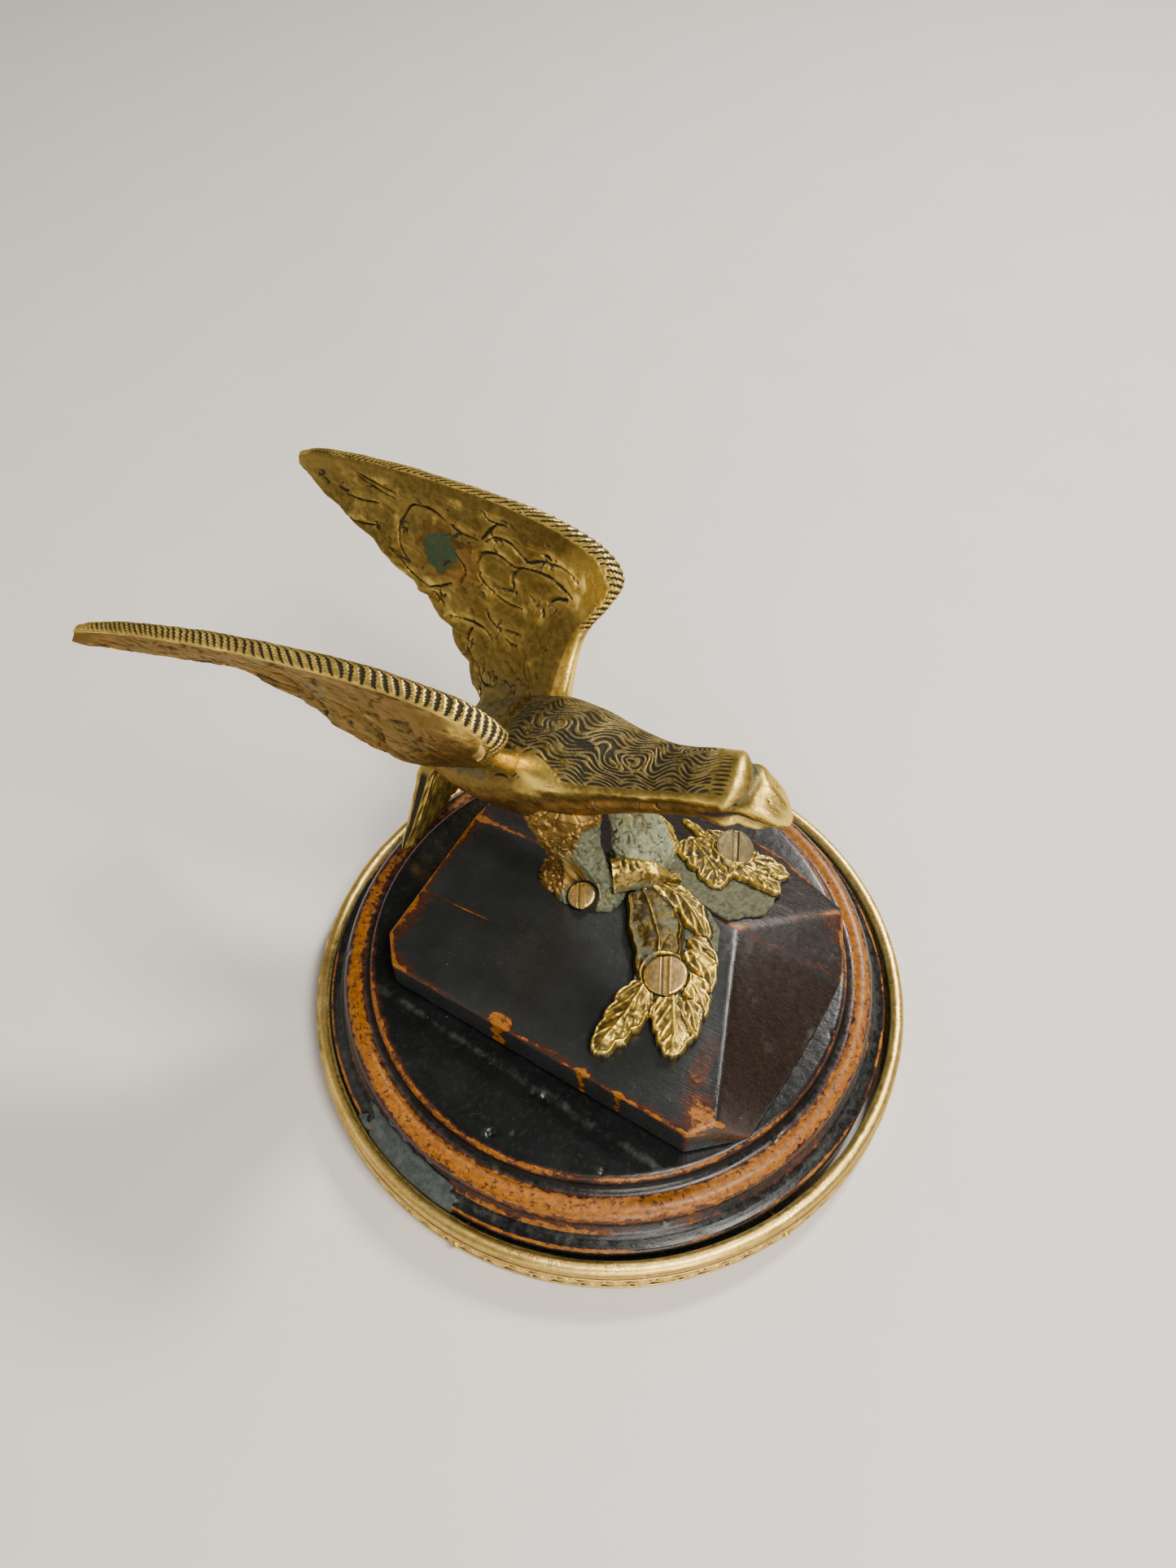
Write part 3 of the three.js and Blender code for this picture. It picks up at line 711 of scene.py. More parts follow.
RIDGE_Y = 10.8
PEAK_X = 22.6
NOSE_RIDGE = np.array([[35.2, -26.0, 28.4]]), np.array([[23.6, 7.8, 28.5]])
FAR_RIDGE = np.array([[PEAK_X, RIDGE_Y, 28.5]]), np.array([[44.8, 14.6, 20.2]])
RUBBED_PATCHES = [
    # x, y, half length, half width, amount of wear
    (-8.1, -28.0, 2.6, 1.6, 1.0), (10.4, -29.9, 1.6, 0.8, 0.9), (18.0, -30.8, 0.9, 0.6, 0.6),
    (2.0, -28.9, 9.0, 0.5, 0.35), (-35.0, -16.0, 2.2, 6.5, 0.22), (-31.0, -26.0, 3.4, 1.6, 0.25),
    (40.8, 25.5, 5.0, 5.0, 0.42), (30.0, 34.0, 7.0, 2.2, 0.40), (20.0, 36.5, 6.0, 1.6, 0.35),
    (23.8, -1.0, 1.0, 9.0, 0.22), (29.0, -17.0, 2.2, 7.0, 0.30),
]
ROCK_DENTS = [
    # place, size, depth
    ((-34.5, -12.6, 27.0), 0.5, 0.35), ((5.0, -29.0, 24.0), 1.2, 0.3),
    ((23.0, -30.6, 26.0), 1.0, 0.25),
]


def rock_top(x, y):
    """The block's top face, which falls away beyond the ridge."""
    return 27.0 + 1.5 * (x + 37.6) / 60.2 - 0.35 * np.maximum(y - RIDGE_Y, 0)


def sharp_edges(mesh):
    """Ends of a CAD node's long sharp edges, in millimetres, as two arrays of points."""
    shape = bmesh.new()
    shape.from_mesh(mesh)
    bmesh.ops.remove_doubles(shape, verts=shape.verts, dist=1e-6)
    ends = []
    for edge in shape.edges:
        if edge.calc_length() < 3 * MM or len(edge.link_faces) != 2:
            continue
        # a fold inside the ruled front slope is no arris
        ruled = all(face.normal.x > 0.2 and face.normal.z > 0.5 for face in edge.link_faces)
        if edge.calc_face_angle() > math.radians(13) and not ruled:
            ends.append([list(edge.verts[0].co), list(edge.verts[1].co)])
    shape.free()
    ends = np.array(ends) / MM
    return ends[:, 0], ends[:, 1]


def distance_to_edges(points, starts, ends):
    nearest = np.full(len(points), 99.0)
    for a, b in zip(starts, ends):
        along = b - a
        t = np.clip((points - a) @ along / (along @ along), 0, 1)
        nearest = np.minimum(nearest, np.linalg.norm(points - a - t[:, None] * along, axis=1))
    return nearest


def even_mesh(node):
    """Points, normals and faces of a CAD node's shape in small even squares, a little rounded."""
    source = bpy.data.objects.new("block_source", node.data.copy())
    bpy.context.scene.collection.objects.link(source)
    remesh = source.modifiers.new("even", "REMESH")
    remesh.mode = "VOXEL"
    remesh.voxel_size = 0.42 * MM
    source.modifiers.new("worn", "SMOOTH").iterations = 2
    graph = bpy.context.evaluated_depsgraph_get()
    mesh = bpy.data.meshes.new_from_object(source.evaluated_get(graph))
    bpy.data.objects.remove(source)
    points = np.zeros(len(mesh.vertices) * 3)
    normals = np.zeros(len(mesh.vertices) * 3)
    mesh.vertices.foreach_get("co", points)
    mesh.vertices.foreach_get("normal", normals)
    faces = [list(p.vertices) for p in mesh.polygons]
    return points.reshape(-1, 3) / MM, normals.reshape(-1, 3), faces


def rock():
    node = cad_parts["rock_block"]
    starts, ends = sharp_edges(node.data)
    high = (starts[:, 2] > 20.2) | (ends[:, 2] > 20.2)
    points, normals, faces = even_mesh(node)
    x, y, z = points.T
    edge = distance_to_edges(points, starts[high], ends[high])
    soft = fractal(points, 7, 40)
    rough = fractal(points, 1.6, 44)
    streak = fractal(points * [0.25, 2.2, 1.0], 3, 47)
    level = normals[:, 2] > 0.985
    on_top = z > 26

    # arrises are rubbed red, and bare at the nose, the corners and a few chips
    wear = 0.47 * bump(edge, 0, 0.8 + 0.4 * soft)
    wear = wear + 0.20 * bump(edge, 0, 2.4) * fade(-x, 12, 30) * on_top
    nose = bump(np.hypot((x - 33.2) / 4.4, (y + 27.6) / 3.0), 0, 1.0) * (z > 26.5)
    nose = nose * (level | (edge < 0.7))
    around_nose = bump(np.hypot((x - 30.0) / 8.0, (y + 24.5) / 5.0), 0, 1.0)
    wear = wear + 0.28 * around_nose * level * (0.9 + 0.8 * soft)
    front_edge = bump(y + 29.8 + 0.06 * x, 0, 1.7 + soft) * fade(x, -2, 22) * (z > 27)
    left_edge = bump(x + 36.0, 0, 3.2) * (0.8 + 0.5 * soft) * on_top
    wear = wear + 0.26 * front_edge + 0.22 * left_edge
    wear = wear + 0.34 * nose * (1 + 0.8 * soft)
    wear = wear + 0.36 * bump(distance_to_edges(points, *FAR_RIDGE), 0, 1.3 + 0.5 * soft)
    for patch_x, patch_y, long, wide, amount in RUBBED_PATCHES:
        away = np.hypot((x - patch_x) / long, (y - patch_y) / wide) - 0.25 * rough
        wear = wear + amount * (1 - fade(away, 0.6, 1.25)) * (z > 20.3)
    # a glue seam near the rear shows as a thin bare line
    seam = bump(y + 10.1 + 0.018 * (x + 37), 0, 0.16) * fade(-x, 17, 24) * (normals[:, 2] > 0.8)
    wear = wear + 0.8 * seam

    front = fade(x - (PEAK_X + (RIDGE_Y - y) * 0.342), -0.6, 0.8) * (y < 12)
    brown = 0.95 * front + 0.7 * fade(y, 11.5, 14)
    dust = 0.30 * fade(soft, 0.1, 0.8) * (normals[:, 2] > 0.7) + 0.25 * fade(z, 21.5, 20.2) * front
    polish = bump(distance_to_edges(points, *NOSE_RIDGE), 0, 1.2)
    relief = 0.05 * soft + 0.03 * rough + 0.05 * front * streak
    relief = relief - 0.10 * np.clip(wear, 0, 1) * (1 + rough)
    relief = relief - 0.12 * seam - 0.05 * bump(edge, 0, 0.5)
    # tool marks beside the seam, and the torn dent in the side
    for place, size, depth in ROCK_DENTS:
        relief = relief - depth * bump(np.linalg.norm(points - place, axis=1), 0, size)
    points = points + normals * relief[:, None]
    masks = {"wear": wear, "dust": dust, "brown": brown, "bloom": 0 * x, "polish": polish}
    make_piece("carved_block", points, faces, ["rock_block"], ROCK_LACQUER, masks)


# ---------------------------------------------------------------- the eagle

EAGLE_Y = 13.9
BODY = [
    # x, z, half width, half depth
    (-46.5, 43.5, 4.6, 3.0), (-43, 44.5, 7.4, 5.2), (-36, 47, 10, 7.6), (-28, 50, 11.6, 9.6),
    (-19, 53.6, 11.9, 10.7), (-11, 56.6, 10.2, 9.5), (-4, 58.6, 8.2, 7.2), (3, 60.6, 6.7, 6.0),
    (8.5, 62.9, 6.0, 5.8), (12.5, 64.7, 6.1, 5.9), (16, 66.1, 6.0, 5.7), (18.6, 66.5, 5.2, 5.0),
    (20.6, 66.0, 4.3, 4.3), (22.8, 65.0, 3.7, 3.8), (24.9, 63.7, 2.8, 3.0), (26.3, 62.6, 1.9, 2.1),
    (27.1, 61.5, 0.9, 1.0),
]
# x, v and size of the eyes that the hair parts round; v runs round the body from its back
EYES = [(-1.0, 2.6, 1.9), (10.0, -2.2, 1.4), (-15.2, 0.6, 1.7), (-20.5, 7.0, 1.2)]


def hair(x, v, reach):
    """Depth of the engraved hair, from 0 to 1: rows of tapered, wavy strokes that part round
    eyes."""
    edge = fade(np.abs(v) / reach, 0.45, 0.95)
    swing = 0.95 * np.sin(2 * np.pi * x / 7.6 + 0.28 * v) * (1 - edge)
    arches = 1.6 * edge * np.abs(np.sin(np.pi * (x + 1.2) / 6.3)) * np.where(v > 0, 1, -1)
    flow = v + swing + arches + 0.75 * noise(flat(x, v), 6.0, 70)
    flow = flow + 0.22 * noise(flat(x, v), 2.4, 72)
    for eye_x, eye_v, size in EYES:
        away = np.hypot((x - eye_x) / 1.9, v - eye_v) + 0.05
        flow = flow - (v - eye_v) * np.clip(size / away, 0, 1) ** 2
        flow = flow + 1.1 * np.clip(size - away, 0, None)
    rows = flow / 0.93
    row = np.floor(rows).astype(np.int64)
    across = np.abs(rows - row - 0.5)
    place = (x / 5.6 + 3.0 * hashed(row, 0, 0, 77) + 0.25 * noise(flat(x, v), 3, 71)) % 1
    taper = np.sin(np.pi * place) ** 0.8
    width = 0.345 + 0.07 * noise(flat(x, v), 4, 73)
    return fade(width * taper - across, -0.05, 0.09)


def body_angles(count):
    """Angles round the body from its belly, closer together over the back, where the hair is."""
    even = np.linspace(-np.pi, np.pi, 721)
    density = np.cumsum(1 + 2.4 * (1 - fade(np.abs(even), 1.35, 1.75)))
    return np.interp(np.linspace(0, density[-1], count + 1)[:-1], density, even)


def body():
    x, z, wide, deep = spline(BODY, 390, 2).T
    angle = body_angles(238)
    path = np.stack([x, np.full_like(x, EAGLE_Y), z], -1)
    along = unit(np.gradient(path, axis=0))
    up = np.stack([-along[:, 2], 0 * x, along[:, 0]], -1)
    side = np.array([0, -1, 0])
    # the back is a little flat and the flank has a shoulder
    squared = 1 + 0.05 * np.sin(2 * angle) ** 2
    grid = (
        path[:, None]
        + (wide[:, None] * np.sin(angle) * squared)[..., None] * side
        + (deep[:, None] * np.cos(angle) * squared)[..., None] * up[:, None]
    )
    radius = (wide + deep)[:, None] / 2
    angle = np.broadcast_to(angle, grid.shape[:2])
    v = angle * radius
    x = np.broadcast_to(x[:, None], v.shape)
    turn = np.abs(angle)
    soft = fractal(grid, 5, 60)
    rough = fractal(grid, 1.3, 61)

    # the head's rings lean forward in the middle of the near side
    tilt = angle - 0.6
    skew = x + np.where(tilt < 0, 0.55, 1.15) * np.clip(tilt, -1.6, 1.4) ** 2
    reach = 1.12 * radius
    in_hair = 1 - fade(np.abs(v) / reach + 0.05 * soft, 0.94, 1.03)
    in_hair = in_hair * fade(x, -26, -22.5) * (1 - fade(skew, 15.0, 15.7))
    # a knuckle stands where the near wing meets the shoulder, painted bright as a highlight
    knuckle = bump(np.hypot((x + 15.4 - 0.5 * (v - 10.8)) / 3.6, (v - 10.8) / 2.9), 0, 1)
    knuckle = knuckle * (angle > 0)
    in_hair = in_hair * (1 - fade(knuckle, 0.12, 0.4))
    worn_hair = 1 - 0.35 * fade(x, 4, 12) * fade(soft, -0.3, 0.6)
    strands = hair(x, v, reach) * in_hair * worn_hair
    # a worn lumpy spot and a dark blot among the hair
    spot = bump(np.hypot((x + 12.6) / 1.5, (v - 5.2) / 1.3), 0, 1)
    blot = bump(np.hypot((x + 8.8) / 2.6, (v - 3.2) / 1.0), 0, 1)
    blot = fade(blot + 0.3 * rough, 0.5, 0.7)
    strands = strands * (1 - 0.8 * spot)
    relief = -0.30 * strands + 0.05 * soft - 0.16 * blot + 0.22 * spot * np.abs(rough)

    # the side of the neck is a smooth ridge below the hair, with a furrow under it
    ridge = bump(turn, 1.30 + 0.05 * soft, 0.15) * fade(x, -24, -14) * (1 - fade(x, 14, 18))
    furrow = 0.38 * bump(turn, 1.62, 0.15) * fade(x, -20, -10) * (1 - fade(x, 14, 18))
    relief = relief + 0.14 * rough * fade(turn, 1.0, 1.3) + 0.34 * ridge - furrow

    # brow, the groove in front of it, beak and mouth
    upper = 1 - fade(turn, 1.45, 1.75)
    brow = bump(skew, 18.0, 0.85) * upper
    gap = bump(skew, 19.6, 0.62) * (1 - fade(turn, 1.5, 1.9))
    beak = fade(skew, 19.9, 21.6) * upper
    plane = 0.30 * bump(turn, 0, 0.22) + 0.34 * bump(turn, 1.15, 0.36)
    plane = plane - 0.16 * bump(turn, 0.55, 0.22)
    relief = relief + 0.50 * brow - 0.70 * gap
    relief = relief + (0.10 + plane) * beak * (1 - fade(x, 24.5, 27.0))
    slanted = v + 0.35 * (skew - 16.3)
    hatch = np.abs((slanted / 0.84 + 0.5) % 1 - 0.5)
    long_cut = np.clip(1 - ((skew - 16.4) / 0.95) ** 2, 0, 1) ** 0.7
    hatch = fade(0.24 * long_cut - hatch, -0.05, 0.07)
    hatch = hatch * fade(v, -2.2, -1.7) * (1 - fade(v, 5.7, 6.2))
    mouth = bump(turn, 1.86 - 0.012 * (x - 18), 0.085) * fade(x, 8, 14) * (1 - fade(x, 26.0, 26.8))
    lip = bump(turn, 2.20, 0.20) * fade(x, 11, 17) * (1 - fade(x, 23.5, 26.2))
    nostril = bump(np.hypot(x - 22.3, np.abs(v) - 1.9), 0, 0.22)
    relief = relief - 0.28 * hatch - 0.45 * mouth + 1.25 * lip - 0.18 * nostril

    # loose scales low on the flank
    warp = 0.5 * noise(grid, 4, 63)
    line, number = cells(x / 6.5 + warp, v / 4.6 + 0.5 * np.floor(x / 6.5), 64)
    scale_zone = fade(turn, 1.5, 1.75) * (1 - fade(x, 4, 10))
    scale = (1 - fade(line, 0.02, 0.09)) * scale_zone * fade(fractal(grid, 8, 65), -0.35, 0.1)
    relief = relief - 0.28 * scale + 0.12 * (number - 0.5) * scale_zone

    # folds where the wings leave the back
    fold = np.sin(x * 1.9 + 1.4 * np.sin(v * 0.5) + soft)
    fold = fold * (1 - fade(x, -27, -22)) * (1 - fade(turn, 1.0, 1.4))
    relief = relief + 0.10 * fold
    grid = grid + outward(grid) * (relief + 0.7 * knuckle)[..., None]

    bright = 0.26 * brow + 0.56 * beak + 0.60 * ridge * (0.75 + 0.7 * soft + 0.5 * rough)
    # 1.1 * knuckle is a painted highlight
    bright = bright + 0.9 * lip + 0.08 * in_hair * (1 - strands) + 1.1 * knuckle
    bright = bright + 0.25 * fade(x, 10, 14) * upper
    brown = fade(turn, 1.50, 1.66) * (1 - 0.75 * fade(x, 15, 20)) * (1 - lip)
    brown = np.maximum(brown, 0.5 * fade(turn, 1.25, 1.5) * (1 - fade(x, -14, -8)))
    brown = np.maximum(brown, 0.6 * fade(rough + 1.2 * soft, 0.15, 0.7) * bump(turn, 1.30, 0.35))
    bloom = 0.50 * (1 - fade(x, -28, -22)) * (1 - fade(turn, 1.1, 1.5))
    bloom = bloom + 0.44 * in_hair + 0.55 * gap + 0.25 * fade(turn, 2.4, 2.8)
    wrinkle = 1 - fade(np.abs(fractal(grid, 3.4, 66)), 0.015, 0.07)
    wrinkle = wrinkle * fade(turn, 1.3, 1.6) * fade(rough, -0.3, 0.3) * (1 - fade(x, 10, 16))
    groove = np.maximum.reduce([
        strands, hatch, 0.9 * blot, 0.9 * mouth, 0.75 * scale, nostril,
        0.42 * gap * (1 + rough), 0.6 * wrinkle,
        0.4 * fade(-fold, 0.5, 1.0) * (x < -24) * (turn < 1.3),
    ])
    cast("eagle_body_casting", grid, "eagle_body", "eagle_brass", EAGLE_BRASS,
         bright=bright, brown=brown, bloom=bloom, groove=groove)


WING = [
    # leading edge x, side, z; trailing edge x, side, z; thickness; radius of the leading roll
    (-20.5, 4.6, 56, -42, 3, 44, 7.6, 3.6), (-21.4, 9.4, 62, -42.6, 8, 46.5, 6.4, 2.9),
    (-22, 13.4, 67, -45.4, 11.8, 50, 5.2, 2.5), (-21.2, 16.4, 72, -50, 14.6, 54.6, 4.8, 2.5),
    (-17.8, 18.8, 77.6, -54, 16.4, 58.4, 4.6, 2.6), (-15.9, 20.5, 83, -57.8, 17.4, 62, 4.5, 2.65),
    (-20, 21.6, 87.4, -62, 18, 64.6, 4.3, 2.6), (-28, 22.7, 89.3, -66.5, 18.9, 67, 4, 2.5),
    (-39, 23.9, 89.6, -71, 20, 69.2, 3.8, 2.4), (-52, 25.3, 88.4, -77, 22.2, 70.3, 3.4, 2.2),
    (-67, 26.9, 86.2, -85, 25.4, 70.8, 3, 1.9), (-80, 28.5, 83.4, -90.5, 27.8, 71.4, 2.6, 1.6),
    (-90.5, 29.5, 80.4, -95.4, 29.9, 72.2, 2.2, 1.3), (-96, 29.8, 77.6, -98, 31, 73.4, 1.6, 0.9),
]
WRIST_X = -17
ON_BLADE = 9.0  # what strip says beyond the leading roll
SCALE_CUTS = [
    # cuts of the inner face: each one's width, then its points (x, z)
    (0.55, [(-62, 81.1), (-64.1, 80.3), (-65.9, 77.2),
           (-66.5, 74.4), (-65.2, 71.5), (-63.1, 69.4)]),
    (0.45, [(-62, 81.1), (-58.4, 81.6), (-55.2, 80.9)]),
    (0.75, [(-46.4, 80.6), (-44.9, 82.9), (-43.3, 84.9)]),
    (0.7, [(-44.9, 83.3), (-43.8, 81.9), (-42.7, 81.3)]),
    (0.45, [(-46.6, 86), (-44.9, 84.9), (-40.9, 85.1)]),
    (0.55, [(-45.6, 80.4), (-43.4, 82.2), (-39.9, 82.4), (-37.4, 81.1), (-35.2, 80.3),
           (-33.1, 81.3), (-30.6, 81.7), (-27, 81.7), (-24.5, 80.1)]),
    (0.8, [(-32.4, 82.8), (-31.5, 82.9), (-30.6, 82.5)]),
    (0.7, [(-46.6, 75.8), (-46.3, 77.6), (-44.9, 78.6),
           (-42.4, 79.2), (-39.5, 78.4), (-37.4, 78.1)]),
    (0.5, [(-37.4, 78.1), (-38.6, 76.1), (-38.4, 73.3), (-39.9, 72.2)]),
    (0.45, [(-46.6, 75.8), (-46.3, 73.6), (-44.9, 71.9), (-42.7, 71.1)]),
    (0.65, [(-37.4, 78.1), (-35.6, 78.9), (-31.6, 79), (-28.4, 78.1), (-25.2, 76.7)]),
    (0.7, [(-29.9, 74), (-28.8, 75.1), (-26.3, 76.1)]), (0.7, [(-34.2, 73.2), (-33.3, 72.6)]),
    (0.6, [(-38.1, 73.1), (-37.4, 72.5)]), (0.45, [(-31.5, 72.5), (-30.9, 70.6)]),
    (0.35, [(-90.2, 80.1), (-83.4, 80.4), (-75.6, 80.3), (-68.4, 80.8)]),
    (0.3, [(-79.5, 79.6), (-73.4, 79.4), (-68.4, 79.8)]),
    (0.3, [(-82, 74.7), (-77.7, 75.6), (-72.7, 77.2)]),
    (0.35, [(-79.9, 70.9), (-77, 71.7), (-72.7, 73.1)]), (0.55, [(-77.7, 83.3), (-75.2, 82.2)]),
    (0.5, [(-81.7, 82.2), (-81.4, 81.2)]), (0.6, [(-70.9, 84.4), (-70.5, 83.6)]),
    (0.5, [(-72.4, 84), (-72.2, 83.3)]), (0.35, [(-59, 86.2), (-56, 86.4), (-53, 85.7)]),
    (0.4, [(-54, 80.7), (-50.5, 80.1), (-47, 80.3)]),
    (0.6, [(-57.4, 66.3), (-56.3, 66.9), (-54.9, 67.4), (-52.7, 69)]),
    (0.6, [(-56.6, 65.4), (-55.6, 64.4), (-54.3, 63.3)]),
    (0.5, [(-55.3, 66.5), (-54.8, 65.1), (-53.9, 65.8)]),
    (0.5, [(-52.7, 61.5), (-49.1, 62.2), (-44.5, 62.4), (-42, 61.1)]),
    (0.4, [(-48.1, 58.3), (-47.9, 59.7), (-47, 61.5)]),
    (0.55, [(-39.2, 64.4), (-37.8, 64.7), (-35.6, 65.1)]),
    (0.55, [(-38.8, 62.9), (-37.3, 62.5), (-35.8, 63)]),
    (0.4, [(-44.9, 67.2), (-43.1, 64.7), (-39.9, 63.6)]),
    (0.35, [(-43, 71), (-40, 69.8), (-36, 70)]),
    (0.5, [(-66, 69.8), (-62.6, 67.6), (-57.6, 66.2)]),
    (0.5, [(-44.2, 53), (-42.5, 51.9), (-40.6, 52.6)]), (0.5, [(-43.5, 51), (-42.7, 49.4)]),
    (0.35, [(-52, 75.5), (-49.5, 73), (-50.5, 70)]),
]
OUTER_CUTS = [
    # cuts of the outer face, in the same way
    (0.6, [(-41, 71), (-38.6, 72.6), (-36, 73.6)]),
    (0.5, [(-60, 74), (-57, 70), (-55, 66), (-56, 62)]),
    (0.5, [(-72, 74), (-68, 70.5), (-63, 69.5), (-58, 70)]),
    (0.5, [(-52, 70), (-47, 68.5), (-44, 64), (-45, 59)]),
    (0.45, [(-44, 64), (-39, 63), (-35, 59.5), (-34, 55)]),
    (0.4, [(-50, 60), (-46.5, 58.5), (-43, 54)]), (0.4, [(-66, 76), (-63, 73.5), (-60, 74)]),
    (0.4, [(-35, 66), (-31, 64), (-29, 59)]),
]
BLOOM_SPOTS = [
    # x, z, size, on the outer face
    (-55.2, 73.3, 1.2), (-54.2, 71.2, 0.8), (-37.6, 65.0, 1.0), (-33.2, 67.2, 1.3),
    (-46.6, 64.8, 0.5),
]


def length_along(path):
    steps = np.linalg.norm(np.diff(path, axis=0), axis=1)
    return np.concatenate([[0], np.cumsum(steps)])


def wing_edges(side, reach):
    """The leading and trailing edges from root to tip, the thickness and the roll's radius."""
    rows = spline(WING, 300)
    for column in (0, 3):
        stretch = np.where(rows[:, column] < WRIST_X, reach, 1)
        rows[:, column] = WRIST_X + (rows[:, column] - WRIST_X) * stretch
    if side < 0:
        # this wing's tip is cast longer and droops
        droop = fade(np.arange(len(rows)) / (len(rows) - 1), 0.86, 1.0)
        rows[:, [0, 3]] -= 1.7 * droop[:, None]
        rows[:, [2, 5]] -= 1.4 * droop[:, None]
    lead = rows[:, :3] * [1, side, 1] + [0, EAGLE_Y, 0]
    trail = rows[:, 3:6] * [1, side, 1] + [0, EAGLE_Y, 0]
    return lead, trail, rows[:, 6], rows[:, 7]


def half_section(outer, thick, roll, long):
    """Half of each section: round the leading roll, then along the blade to a rounded end. The
    roll stands over the outer face and runs smoothly into the inner one. Gives the distances
    along the chord and off it, and strip, the angle round the roll or ON_BLADE."""
    thick, roll, long = thick[:, None], roll[:, None], long[:, None]
    blade = np.linspace(0, 1, 121)[1:]
    blade = blade - 0.012 * np.sin(2 * np.pi * blade)
    round_end = np.sqrt(np.clip(1 - np.clip((blade - 0.965) / 0.035, 0, 1) ** 2, 0, 1))
    turns = np.linspace(0, 2.25 if outer else np.pi / 2, 40)
    d_roll = roll * (1 - np.cos(turns)) * (1.0 if outer else 1.5)
    h_roll = roll * np.sin(turns) * (1.0 if outer else thick * 0.30 / roll)
    d0, h0 = d_roll[:, -1:], h_roll[:, -1:]
    d_blade = d0 + (long - d0) * blade
    h_blade = thick * (0.30 - 0.17 * blade)
    ease = 1 - fade((d_blade - d0) / 1.4, 0, 1)
    h_blade = (h_blade + (h0 - h_blade) * ease) * round_end + 0.02
    strip = np.broadcast_to(turns * (1.0 if outer else 1.1), d_roll.shape)
    strip = np.concatenate([strip, np.full(d_blade.shape, ON_BLADE)], 1)
    face = 1.0 if outer else -1.0
    off = np.concatenate([h_roll, h_blade], 1) * face
    return np.concatenate([d_roll, d_blade], 1), off, strip * face


def slashes(run, strip, on_roll):
    """Slanted cuts across the leading roll, from 0 to 1, finer to the tip and round the wrist."""
    across = np.clip(strip / 1.65 - 0.12, -1.2, 1.2)
    on_roll = on_roll * (1 - fade(np.abs(across), 0.86, 1.0))
    pitch = 1.25 + 0.85 * bump(run[:, 0], 62, 26)
    count = np.cumsum(np.gradient(run[:, 0]) / pitch)[:, None]
    slant = 1.3 + 0.4 * noise(flat(run, 0 * run), 6, 86)
    phase = count + slant * across + 0.28 * across**2
    phase = phase + 0.12 * noise(flat(run, across * 3), 2.2, 87)
    number = np.floor(phase).astype(np.int64)
    length = 0.88 + 0.16 * hashed(number, 0, 0, 88)
    width = 0.215 + 0.07 * bump(run, 38, 20)
    width = width * np.clip(1 - (across / length) ** 2, 0, 1) ** 0.55
    cut = fade(width - np.abs(phase - number - 0.5), -0.03, 0.09)
    ends = fade(run, 19, 22) * (1 - fade(run, run.max() - 6, run.max() - 2))
    return cut * on_roll * ends, on_roll


